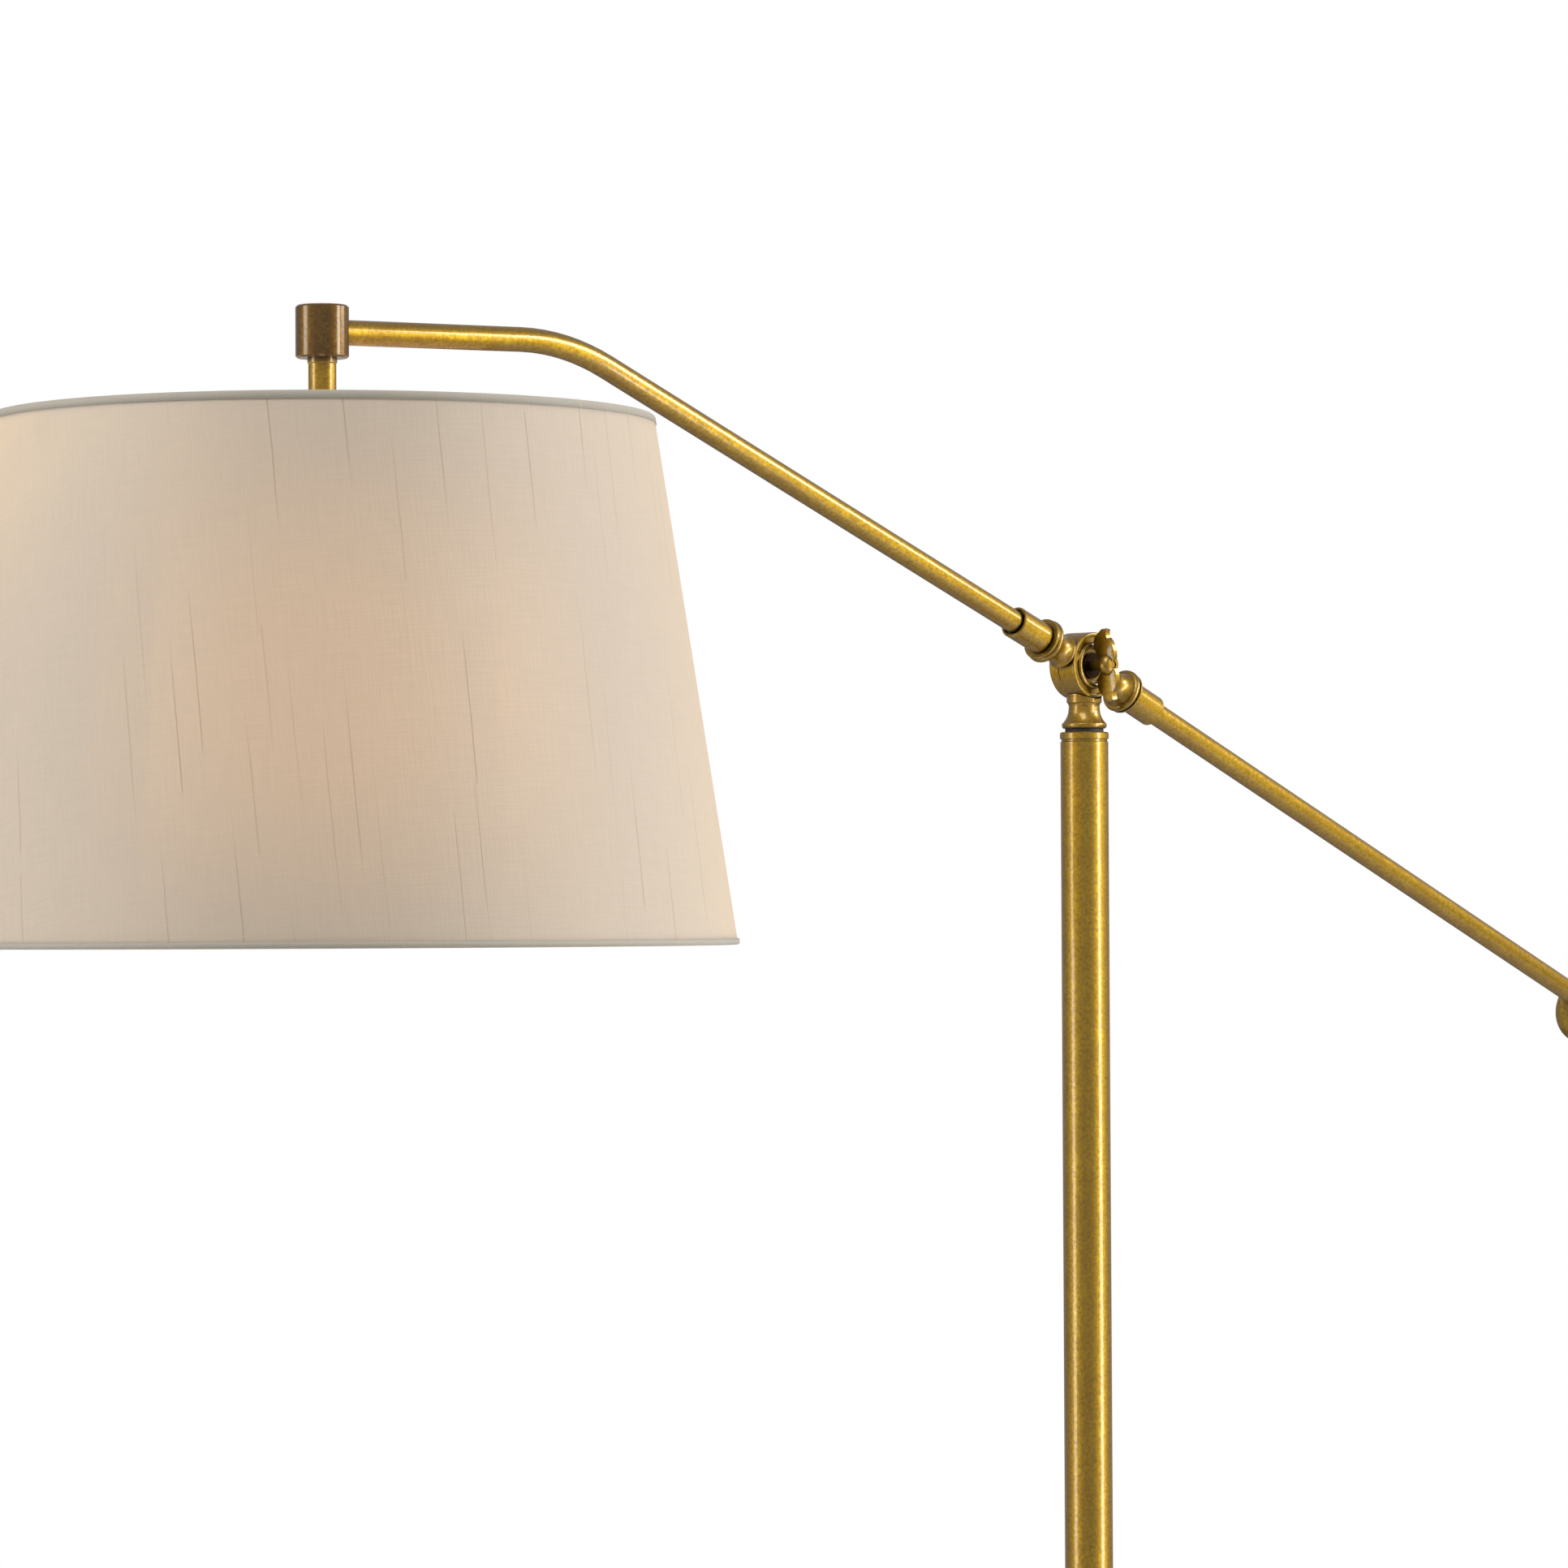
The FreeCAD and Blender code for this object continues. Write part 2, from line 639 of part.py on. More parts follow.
def pole_neck():
    """Cast neck and back half of the knuckle in one piece with its swivel spigot."""
    spigot_r = SPIGOT_D / 2
    spigot_end = -SHOULDER_DROP - SPIGOT_LENGTH
    waist_r = NECK_WAIST_D / 2
    lip_r = NECK_LIP_D / 2
    curve_out, curve_down = NECK_LIP_CURVE
    bead_top = -SHOULDER_DROP + NECK_BEAD_HEIGHT
    cove_turn = math.degrees(math.asin((-NECK_WAIST_DROP - bead_top) / NECK_COVE))
    cove_end = waist_r + NECK_COVE * (1 - math.cos(math.radians(cove_turn)))
    cove = bow((waist_r + NECK_COVE, -NECK_WAIST_DROP), NECK_COVE, 180 + cove_turn, 180)
    stem = turned(
        (0, spigot_end),
        (spigot_r - SPIGOT_BEVEL, spigot_end),
        (spigot_r, spigot_end + SPIGOT_BEVEL),
        (spigot_r, -SHOULDER_DROP),
        (NECK_BEAD_D / 2 - NECK_BEAD_FOOT, -SHOULDER_DROP),
        ((NECK_BEAD_D / 2, -SHOULDER_DROP + NECK_BEAD_HEIGHT / 2), (cove_end, bead_top)),
        cove,
        ((waist_r + curve_out, -NECK_LIP_DROP - curve_down), (lip_r, -NECK_LIP_DROP)),
        (lip_r, -KNUCKLE_R / 2),
        (0, -KNUCKLE_R / 2),
    )
    stem = stem.cut(spigot_groove())
    saddle_back = DRUM_SEAM + FACE_GAP
    saddle = rod(KNUCKLE_R + OPEN_GAP, -saddle_back, KNUCKLE_D)
    saddle = saddle.fuse(rod(KNUCKLE_R - SADDLE_DEPTH, -KNUCKLE_D, 0))
    neck = at_pivot(stem).cut(on_tilt_axis(saddle)).fuse(on_tilt_axis(knuckle_back()))
    neck = neck.cut(at_pivot(rod(SPIGOT_BORE_D / 2, spigot_end - 1, -KNUCKLE_R)))
    chamber_middle = -(saddle_back + BACK_CHAMBER / 2 + FRICTION_THICKNESS / 2)
    passage_start = V(0, 0, PIVOT_HEIGHT - NECK_WAIST_DROP)
    passage_end = V(0, -chamber_middle, PIVOT_HEIGHT - CHAMBER_D / 2 + 1)
    way = passage_end - passage_start
    passage = Part.makeCylinder(TENON_BORE_D / 2, way.Length, passage_start, way)
    return neck.cut(passage).removeSplitter()


def knuckle_back():
    """Back half: a round cheek with the friction disc's seat and a wiring chamber."""
    face = -(DRUM_SEAM + FACE_GAP)
    back = -KNUCKLE_BACK
    seat = face - FRICTION_THICKNESS + FACE_GAP
    seat_r = BOLT_HEAD_D / 2 + 2 * BOLT_SEAT_EDGE
    rim_r = KNUCKLE_R - CHEEK_ROUND - CHEEK_RIM
    cheek = turned(
        (BOLT_D / 2 + RUN_FIT, back),
        (seat_r, back),
        (seat_r + CHEEK_BEVEL, back + CHEEK_SINK),
        (rim_r - CHEEK_BEVEL, back + CHEEK_SINK),
        (rim_r, back),
        (KNUCKLE_R - CHEEK_ROUND, back),
        bow((KNUCKLE_R - CHEEK_ROUND, back + CHEEK_ROUND), CHEEK_ROUND, 270, 360),
        (KNUCKLE_R, face - EASE),
        (KNUCKLE_R - EASE, face),
        (FRICTION_D / 2 + SEAT_FIT, face),
        (FRICTION_D / 2 + SEAT_FIT, seat),
        (CHAMBER_D / 2, seat),
        (CHAMBER_D / 2, seat - BACK_CHAMBER),
        (BOLT_D / 2 + RUN_FIT, seat - BACK_CHAMBER),
    )
    pin_hole = rod(STOP_PIN_D / 2 + SEAT_FIT, face - STOP_PIN_SEAT, face + 1)
    return cheek.cut(pin_hole.translated(V(0, STOP_PIN_RADIUS, 0)))


def tilt_stop_pin():
    face = -(DRUM_SEAM + FACE_GAP)
    tip = -DRUM_SEAM + STOP_SLOT_DEPTH - OPEN_GAP
    pin = rod(STOP_PIN_D / 2, face - STOP_PIN_SEAT, tip)
    return on_tilt_axis(pin.translated(V(0, STOP_PIN_RADIUS, 0)))


def friction_disc():
    high = -DRUM_SEAM
    return on_tilt_axis(tube(FRICTION_D / 2, FRICTION_INNER_D / 2, high - FRICTION_THICKNESS, high))


def pivot_bolt():
    """Slotted shoulder bolt through both halves, threaded for the wing nut."""
    back = -KNUCKLE_BACK
    head_r = BOLT_HEAD_D / 2
    end = NUT_HUB_START + NUT_HUB_LENGTH - 0.5
    rim = (head_r, back - BOLT_HEAD_EDGE)
    bolt = turned(
        (0, end),
        (BOLT_THREAD_D / 2 - EASE, end),
        (BOLT_THREAD_D / 2, end - EASE),
        (BOLT_THREAD_D / 2, RECESS_FLOOR - FACE_GAP),
        (BOLT_D / 2, RECESS_FLOOR - FACE_GAP),
        (BOLT_D / 2, back),
        (head_r, back),
        rim,
        dome(rim, back - BOLT_HEAD),
    )
    slot = Part.makeBox(
        BOLT_HEAD_D, BOLT_SLOT_WIDTH, BOLT_SLOT_DEPTH + 1,
        V(-head_r, -BOLT_SLOT_WIDTH / 2, back - BOLT_HEAD - 1))
    return on_tilt_axis(bolt.cut(slot))


def clamp_washer():
    low = RECESS_FLOOR
    return on_tilt_axis(tube(CLAMP_WASHER_D / 2, BOLT_THREAD_D / 2 + RUN_FIT, low, low + CLAMP_WASHER))


# ---- knuckle: the arm's drum ----
def arm_drum():
    """Front half of the knuckle, which carries both arms."""
    bore = BOLT_D / 2 + RUN_FIT
    seam = -DRUM_SEAM
    groove = DRUM_FRONT - RIM_GROOVE
    ring_out = RING_OUTER_D / 2
    ring_in = RING_INNER_D / 2
    body = turned(
        (bore, seam),
        (KNUCKLE_R - EASE, seam),
        (KNUCKLE_R, seam + EASE),
        (KNUCKLE_R, DRUM_FRONT - DRUM_ROUND),
        bow((KNUCKLE_R - DRUM_ROUND, DRUM_FRONT - DRUM_ROUND), DRUM_ROUND, 0, 90),
        (KNUCKLE_R - RIM_WIDTH, DRUM_FRONT),
        (KNUCKLE_R - RIM_WIDTH - RIM_BEVEL, groove),
        (ring_out, groove),
        (((ring_out + ring_in) / 2, DRUM_FRONT), (ring_in, groove)),
        (ring_in, RECESS_FLOOR),
        (bore, RECESS_FLOOR),
    )
    body = on_tilt_axis(body)
    slab = on_tilt_axis(rod(KNUCKLE_D, seam, DRUM_FRONT))
    boss = rod(SEAT_BOSS_D / 2, CHAMBER_D / 2 + 2, FLANGE_START)
    socket = rod(TENON_D / 2 + SEAT_FIT, CHAMBER_D / 2 - 1, FLANGE_START + 1)
    for place in (on_front_arm, on_rear_arm):
        body = body.fuse(place(boss).common(slab))
    for place in (on_front_arm, on_rear_arm):
        body = body.cut(place(socket))
    chamber = tube(CHAMBER_D / 2, bore - 0.5, seam - 1, RECESS_FLOOR - CHAMBER_LAND)
    body = body.cut(on_tilt_axis(chamber))
    return body.cut(stop_slot()).removeSplitter()


def stop_slot():
    """Curved slot for the stop pin, as long as the arm's tilt."""
    half_width = STOP_PIN_D / 2 + OPEN_GAP
    half_pin = math.degrees(math.asin(half_width / STOP_PIN_RADIUS))
    face = outline(
        (STOP_PIN_RADIUS - half_width, -DRUM_SEAM - 1),
        (STOP_PIN_RADIUS + half_width, -DRUM_SEAM - 1),
        (STOP_PIN_RADIUS + half_width, -DRUM_SEAM + STOP_SLOT_DEPTH),
        (STOP_PIN_RADIUS - half_width, -DRUM_SEAM + STOP_SLOT_DEPTH),
    )
    face.rotate(V(0, 0, 0), V(0, 0, 1), 90 - TILT_DOWN - half_pin)
    sweep = TILT_DOWN + TILT_UP + 2 * half_pin
    return on_tilt_axis(face.revolve(V(0, 0, 0), V(0, 0, 1), sweep))


# ---- wing nut ----
def wing_outline():
    """One cast wing in the plane of the tilt axis: (along the axis, away from it)."""
    tip = WING_SPAN / 2
    return (
        (-2.0, NUT_COLLAR_D / 4),
        ((-5.4, tip * 0.27), (-7.2, tip * 0.43)),
        ((-7.7, tip * 0.60), (-5.1, tip * 0.82)),
        (-0.4, tip),
        (2.6, tip * 0.965),
        ((2.2, tip * 0.86), (2.5, tip * 0.74)),
        ((5.6, tip * 0.49), (5.2, NUT_COLLAR_D / 4)),
    )


def wing_nut():
    """Cast wing nut: a sleeve down to the washer, a domed hub and two leaf wings."""
    bore = BOLT_THREAD_D / 2 + RUN_FIT
    start = NUT_HUB_START
    end = start + NUT_HUB_LENGTH
    hub_r = NUT_HUB_D / 2
    hub = turned(
        (bore, RECESS_FLOOR + CLAMP_WASHER),
        (NUT_SLEEVE_D / 2, RECESS_FLOOR + CLAMP_WASHER),
        (NUT_SLEEVE_D / 2, start),
        (NUT_COLLAR_D / 2, start),
        ((hub_r, start + NUT_BULGE_START), (hub_r, start + NUT_BULGE_END)),
        ((NUT_FACE_D / 2 + NUT_FACE_ROUND, end - NUT_FACE_EDGE), (NUT_FACE_D / 2, end)),
        (bore, end),
    )
    middle = start + NUT_HUB_LENGTH * WING_SEAT
    half = WING_THICKNESS / 2
    edge = WING_EDGE / 2
    low, high = -WING_LENS, WING_LENS
    lens = Part.Wire([
        Part.LineSegment(V(-edge, 0, low), V(edge, 0, low)).toShape(),
        Part.Arc(V(edge, 0, low), V(half, 0, 0), V(edge, 0, high)).toShape(),
        Part.LineSegment(V(edge, 0, high), V(-edge, 0, high)).toShape(),
        Part.Arc(V(-edge, 0, high), V(-half, 0, 0), V(-edge, 0, low)).toShape(),
    ])
    lens = Part.Face(lens).extrude(V(0, WING_SPAN, 0))
    plate = outline(*[flip(step) for step in wing_outline()])
    plate = plate.rotated(V(0, 0, 0), V(0, 0, 1), 90).extrude(V(WING_SPAN, 0, 0))
    plate = plate.translated(V(-WING_SPAN / 2, 0, 0))
    wing = plate.common(lens).translated(V(0, 0, middle))
    for turn in (0, 180):
        hub = hub.fuse(wing.rotated(V(0, 0, 0), V(0, 0, 1), turn))
    hub = hub.cut(rod(bore, RECESS_FLOOR, end + 10))
    hub = hub.rotated(V(0, 0, 0), V(0, 0, 1), WING_TURN)
    return on_tilt_axis(hub).removeSplitter()


def flip(step):
    """Swap a wing outline's (along, away) into the helper's (radius, height)."""
    if isinstance(step[0], tuple):
        return tuple((away, along) for along, away in step)
    return (step[1], step[0])


# ---- couplers, sleeves and tubes of the arm ----
def coupler():
    """Turned coupler: tenon, flange, hollow waist, bead and ring, sleeve tenon."""
    bore = COUPLER_BORE_D / 2
    flange_end = FLANGE_START + FLANGE_LENGTH
    waist_at = (flange_end + BEAD_START) / 2
    bead_r = BEAD_D / 2
    foot_r = BEAD_GROOVE_D / 2 - BEAD_FOOT
    bead_end = BEAD_START + BEAD_LENGTH
    body = turned(
        (0, CHAMBER_D / 2),
        (TENON_D / 2, CHAMBER_D / 2),
        (TENON_D / 2, FLANGE_START),
        (FLANGE_D / 2 - FLANGE_BEVEL, FLANGE_START),
        ((FLANGE_D / 2, FLANGE_START + FLANGE_CROWN), (FLANGE_D / 2 - FLANGE_LIP, flange_end)),
        ((COUPLER_WAIST_D / 2, waist_at), (foot_r, BEAD_START)),
        ((bead_r, BEAD_START + BEAD_LENGTH * BEAD_CROWN), (BEAD_GROOVE_D / 2, bead_end)),
        (BEAD_GROOVE_D / 2, RING_START),
        (RING_D / 2, RING_START),
        (RING_D / 2, RING_END - EASE),
        (RING_D / 2 - EASE, RING_END),
        (SLEEVE_TENON_D / 2, RING_END),
        (SLEEVE_TENON_D / 2, TUBE_START),
        (0, TUBE_START),
    )
    body = body.cut(rod(TENON_BORE_D / 2, 0, BEAD_START))
    return body.cut(rod(bore, waist_at, TUBE_START + 1))


def sleeve():
    """Plain sleeve with a recessed mouth round the arm tube."""
    outer = SLEEVE_D / 2
    return turned(
        (SLEEVE_TENON_D / 2 + SEAT_FIT, SLEEVE_START),
        (outer - EASE, SLEEVE_START),
        (outer, SLEEVE_START + EASE),
        (outer, SLEEVE_END - SLEEVE_BEVEL),
        (outer - SLEEVE_BEVEL, SLEEVE_END),
        (SLEEVE_MOUTH_D / 2, SLEEVE_END),
        (SLEEVE_MOUTH_D / 2, SLEEVE_END - SLEEVE_MOUTH_DEPTH),
        (ARM_TUBE_D / 2 + SEAT_FIT, SLEEVE_END - SLEEVE_MOUTH_DEPTH),
        (ARM_TUBE_D / 2 + SEAT_FIT, TUBE_START),
        (SLEEVE_TENON_D / 2 + SEAT_FIT, TUBE_START),
    )


def front_arm_line(end_gap):
    """Corners of the front arm's centre line, to a gap before the shade's axis."""
    rise = math.radians(FRONT_RISE)
    end = HEAD_REACH - end_gap
    end_height = STUB_HEIGHT + end_gap * math.tan(math.radians(STUB_FALL))
    return [
        (-TUBE_START * math.cos(rise), TUBE_START * math.sin(rise)),
        (-BEND_REACH, BEND_HEIGHT),
        (-end, end_height),
    ]


def front_arm_tube():
    path = bent_path(front_arm_line(CAP_CAVITY_D / 2), BEND_RADIUS)
    bar = along_path(path, ARM_TUBE_D / 2)
    bore = along_path(path, ARM_TUBE_D / 2 - ARM_TUBE_WALL)
    return at_pivot(bar.cut(bore).cut(cap_cavity()))


def cap_cavity():
    """The wiring space in the middle of the end cap."""
    low = CAP_BOTTOM + STEM_SEAT
    space = rod(CAP_CAVITY_D / 2, low, STUB_HEIGHT + ARM_TUBE_D / 2)
    return space.translated(V(-HEAD_REACH, 0, 0))


def rear_arm_tube():
    return on_rear_arm(tube(ARM_TUBE_D / 2, ARM_TUBE_D / 2 - ARM_TUBE_WALL, TUBE_START, REAR_LENGTH))


# ---- counterweight ----
WEIGHT_START = REAR_LENGTH - COUNTERWEIGHT_GRIP
WEIGHT_BODY = WEIGHT_START + COUNTERWEIGHT_COLLAR
WEIGHT_END = WEIGHT_BODY + COUNTERWEIGHT_LENGTH


def counterweight():
    """Solid turned weight: a collar with a grub screw, and a banded barrel."""
    r = COUNTERWEIGHT_D / 2
    soft = COUNTERWEIGHT_ROUND
    collar_r = COUNTERWEIGHT_COLLAR_D / 2
    barrel_low = WEIGHT_BODY + soft
    barrel_high = WEIGHT_END - soft
    bore = ARM_TUBE_D / 2 + SEAT_FIT
    steps = [
        (collar_r - WEIGHT_BEVEL, WEIGHT_START),
        (collar_r, WEIGHT_START + WEIGHT_BEVEL),
        (collar_r, WEIGHT_BODY - WEIGHT_FILLET),
        bow((collar_r + WEIGHT_FILLET, WEIGHT_BODY - WEIGHT_FILLET), WEIGHT_FILLET, 180, 90),
        (r - soft, WEIGHT_BODY),
        bow((r - soft, barrel_low), soft, -90, 0),
    ]
    for low in (barrel_low + BAND_INSET, barrel_high - BAND_INSET - BAND_WIDTH):
        steps += [
            (r, low),
            (r - BAND_DEPTH, low + BAND_SLOPE),
            (r - BAND_DEPTH, low + BAND_WIDTH - BAND_SLOPE),
            (r, low + BAND_WIDTH),
        ]
    steps += [
        (r, barrel_high),
        bow((r - soft, barrel_high), soft, 0, 90),
        (FINIAL_STUD_D / 2 + SEAT_FIT, WEIGHT_END),
        (FINIAL_STUD_D / 2 + SEAT_FIT, REAR_LENGTH),
    ]
    body = turned((bore, REAR_LENGTH), (bore, WEIGHT_START), *steps)
    return on_rear_arm(body.cut(grub_bar(GRUB_D / 2 + SEAT_FIT)))


def grub_bar(radius):
    """A bar from the rear tube out through the counterweight's collar."""
    height = WEIGHT_START + COUNTERWEIGHT_COLLAR * GRUB_PLACE
    start = ARM_TUBE_D / 2
    length = COUNTERWEIGHT_COLLAR_D / 2 - start
    return Part.makeCylinder(radius, length, V(start, 0, height), V(1, 0, 0))


def counterweight_screw():
    height = WEIGHT_START + COUNTERWEIGHT_COLLAR * GRUB_PLACE
    outer = COUNTERWEIGHT_COLLAR_D / 2
    start = V(outer - GRUB_SOCKET, 0, height)
    socket = Part.makeCylinder(GRUB_D / 4, GRUB_SOCKET, start, V(1, 0, 0))
    return on_rear_arm(grub_bar(GRUB_D / 2).cut(socket))


def end_finial():
    """Small turned button on a stud, closing the counterweight's end."""
    r = FINIAL_D / 2
    neck = FINIAL_NECK_D / 2
    foot = FINIAL_FOOT_D / 2
    throat = WEIGHT_END + FINIAL_FOOT + FINIAL_NECK
    turn = math.degrees(math.acos(neck / r))
    centre = throat + r * math.sin(math.radians(turn))
    body = turned(
        (0, WEIGHT_END - FINIAL_STUD),
        (FINIAL_STUD_D / 2, WEIGHT_END - FINIAL_STUD),
        (FINIAL_STUD_D / 2, WEIGHT_END),
        (foot, WEIGHT_END),
        (foot, WEIGHT_END + FINIAL_FOOT),
        (neck, WEIGHT_END + FINIAL_FOOT),
        (neck, throat),
        bow((0, centre), r, -turn, 90),
    )
    return on_rear_arm(body)


# ---- end cap and stem ----
def end_cap():
    """Short upright cylinder that joins the arm to the stem of the shade."""
    r = CAP_D / 2
    body = turned(
        (0, CAP_BOTTOM),
        (r - CAP_CHAMFER, CAP_BOTTOM),
        (r, CAP_BOTTOM + CAP_CHAMFER),
        (r, CAP_TOP - CAP_CHAMFER),
        (r - CAP_CHAMFER, CAP_TOP),
        (0, CAP_TOP),
    )
    body = body.cut(rod(STEM_D / 2 + SEAT_FIT, CAP_BOTTOM - 1, CAP_BOTTOM + STEM_SEAT))
    body = on_head(body).cut(at_pivot(cap_cavity()))
    stub = along_path(bent_path(front_arm_line(0), BEND_RADIUS), ARM_TUBE_D / 2 + SEAT_FIT)
    return body.cut(at_pivot(stub))


def head_stem():
    r = STEM_D / 2
    bore = r - STEM_WALL
    shoulder = STEM_SHOULDER_D / 2
    return on_head(turned(
        (bore, FITTER_TOP + NIPPLE_RISE),
        (NIPPLE_D / 2 + SEAT_FIT, FITTER_TOP + NIPPLE_RISE),
        (NIPPLE_D / 2 + SEAT_FIT, FITTER_TOP),
        (r, FITTER_TOP),
        (r, CAP_BOTTOM - STEM_SHOULDER),
        (shoulder, CAP_BOTTOM - STEM_SHOULDER + 0.5),
        (shoulder, CAP_BOTTOM),
        (r, CAP_BOTTOM),
        (r, CAP_BOTTOM + STEM_SEAT),
        (bore, CAP_BOTTOM + STEM_SEAT),
    ))


def head_nipple():
    low = HOLDER_TOP - HOLDER_CAP_NECK
    return on_head(tube(NIPPLE_D / 2, NIPPLE_BORE_D / 2, low, FITTER_TOP + NIPPLE_RISE))


# ---- shade ----
def shade_radius(height):
    """Outer radius of the shade's trim at a height about the tilt axis."""
    share = (SHADE_TOP - height) / SHADE_HEIGHT
    return SHADE_TOP_D / 2 + share * (SHADE_BOTTOM_D - SHADE_TOP_D) / 2


def shade_band(inset, thickness, low, high):
    """A cone band of the shade's wall, set in from its outer face."""
    outer = inset / math.cos(SHADE_LEAN)
    inner = (inset + thickness) / math.cos(SHADE_LEAN)
    return turned(
        (shade_radius(low) - inner, low),
        (shade_radius(low) - outer, low),
        (shade_radius(high) - outer, high),
        (shade_radius(high) - inner, high),
    )


FABRIC_INSET = TRIM_THICKNESS
LINER_INSET = FABRIC_INSET + FABRIC_THICKNESS
WIRE_INSET = LINER_INSET + LINER_THICKNESS
HEM_INSET = WIRE_INSET + RING_WIRE_D + 2 * SEAT_FIT
WALL_TOP = SHADE_TOP - TRIM_THICKNESS
WALL_BOTTOM = SHADE_BOTTOM + TRIM_THICKNESS


def shade_fabric():
    return on_head(shade_band(FABRIC_INSET, FABRIC_THICKNESS, WALL_BOTTOM, WALL_TOP))


def shade_liner():
    return on_head(shade_band(LINER_INSET, LINER_THICKNESS, WALL_BOTTOM, WALL_TOP))


def rolled_edge(fold, free, wall):
    """Fabric turned over a wire: the height of its fold, of its free edges and of the wall."""
    hem = HEM_INSET + TRIM_THICKNESS
    corners = [
        (0, free),
        (0, fold),
        (hem, fold),
        (hem, free),
        (HEM_INSET, free),
        (HEM_INSET, wall),
        (TRIM_THICKNESS, wall),
        (TRIM_THICKNESS, free),
    ]
    lean = math.cos(SHADE_LEAN)
    return turned(*[(shade_radius(height) - inset / lean, height) for inset, height in corners])


def shade_top_trim():
    """Rolled edge of the fabric over the top wire, slit where the spider's arms leave."""
    free = SHADE_TOP - TOP_TRIM
    edge = rolled_edge(SHADE_TOP, free, WALL_TOP)
    half = WIRE_R + SEAT_FIT
    corner = V(-wire_radius(TOP_WIRE_HEIGHT), -half, free - TRIM_THICKNESS)
    slit = Part.makeBox(SPIDER_FLAT, 2 * half, WALL_TOP - corner.z, corner)
    return on_head(edge.cut(around_spider(slit)))


def shade_bottom_trim():
    """Rolled edge of the fabric under the bottom wire."""
    return on_head(rolled_edge(SHADE_BOTTOM, SHADE_BOTTOM + BOTTOM_TRIM, WALL_BOTTOM))


def wire_radius(height):
    """Radius of the centre line of a wire ring inside the wall."""
    offset = (WIRE_INSET + WIRE_R + SEAT_FIT) / math.cos(SHADE_LEAN)
    return shade_radius(height) - offset


def shade_bottom_ring():
    height = WALL_BOTTOM + SEAT_FIT + WIRE_R
    return on_head(Part.makeTorus(wire_radius(height), WIRE_R, V(0, 0, height)))


def around_spider(shape):
    """One copy of a shape at each arm of the spider."""
    step = 360 / SPIDER_ARMS
    return [shape.rotated(V(0, 0, 0), V(0, 0, 1), step * index) for index in range(SPIDER_ARMS)]


def spider_arms():
    """The bent wires from the top ring down to the fitter ring."""
    rim = wire_radius(TOP_WIRE_HEIGHT)
    fitter_r = FITTER_D / 2
    fitter_middle = FITTER_TOP - FITTER_THICKNESS / 2
    corners = [
        (-rim, TOP_WIRE_HEIGHT),
        (SPIDER_FLAT - rim, TOP_WIRE_HEIGHT),
        (-SPIDER_FLAT - fitter_r, fitter_middle),
        (WIRE_R - fitter_r, fitter_middle),
    ]
    return around_spider(along_path(bent_path(corners, SPIDER_BEND), WIRE_R))


def shade_spider():
    """Top wire ring with three bent arms down to the flat fitter ring."""
    body = Part.makeTorus(wire_radius(TOP_WIRE_HEIGHT), WIRE_R, V(0, 0, TOP_WIRE_HEIGHT))
    fitter_r = FITTER_D / 2
    fitter = tube(fitter_r, NIPPLE_D / 2 + SEAT_FIT, WASHER_TOP, FITTER_TOP)
    room = rod(fitter_r - WIRE_R * 2, WASHER_TOP - 5, FITTER_TOP + 5)
    return on_head(body.fuse(spider_arms()).cut(room).fuse(fitter).removeSplitter())


def shade_washer():
    return on_head(tube(SHADE_WASHER_D / 2, NIPPLE_D / 2 + SEAT_FIT, SHADE_NUT_TOP, WASHER_TOP))


def shade_locknut():
    return on_head(hexagon(SHADE_NUT_FLATS, NIPPLE_D / 2 + SEAT_FIT, HOLDER_TOP, SHADE_NUT_TOP))


# ---- lamp holder ----
def holder_cap():
    """Domed brass cap that screws up the nipple."""
    neck = HOLDER_CAP_NECK_D / 2
    bore = NIPPLE_D / 2 + SEAT_FIT
    dome_low = HOLDER_SHOULDER + HOLDER_OVERLAP
    dome_high = HOLDER_TOP - HOLDER_CAP_NECK
    wall = HOLDER_WALL
    middle = (HOLDER_R * 0.80, dome_low + (dome_high - dome_low) * 0.66)
    inner_middle = (middle[0] - wall * 0.7, middle[1] - wall * 0.7)
    return on_head(turned(
        (bore, HOLDER_TOP),
        (neck, HOLDER_TOP),
        (neck, dome_high),
        (middle, (HOLDER_R, dome_low)),
        (HOLDER_R, HOLDER_SHOULDER),
        (HOLDER_R - wall, HOLDER_SHOULDER),
        (HOLDER_R - wall, dome_low),
        (inner_middle, (neck, dome_high - wall)),
        (bore, dome_high - wall),
    ))


def spindle_bar(radius, inner, outer):
    """A bar on the switch's axis, out towards -Y from the lamp holder's axis."""
    bar = Part.makeCylinder(radius, outer - inner, V(0, -inner, KNOB_HEIGHT), V(0, -1, 0))
    return on_head(bar)


def switch_hole():
    return spindle_bar(SPINDLE_D / 2 + RUN_FIT, HOLDER_R - SPINDLE_DEPTH, HOLDER_R + 1)


def holder_shell():
    shell = tube(SHELL_R, SHELL_R - HOLDER_WALL, HOLDER_MOUTH, SHELL_TOP)
    lip = tube(SHELL_R + HOLDER_WALL, SHELL_R - HOLDER_WALL / 2, HOLDER_MOUTH, HOLDER_MOUTH + 1.6)
    return on_head(shell.fuse(lip).removeSplitter()).cut(switch_hole())


def holder_lining():
    lining = tube(LINING_R, LINING_R - LINING_THICKNESS, HOLDER_MOUTH + 1.0, BLOCK_TOP)
    return on_head(lining).cut(switch_hole())


def switch_block():
    """Moulded block that holds the switch and the screw shell."""
    return on_head(rod(BLOCK_R, BLOCK_BOTTOM, BLOCK_TOP)).cut(switch_hole())


def centre_contact():
    return on_head(rod(CONTACT_D / 2, BULB_TIP, BLOCK_BOTTOM))


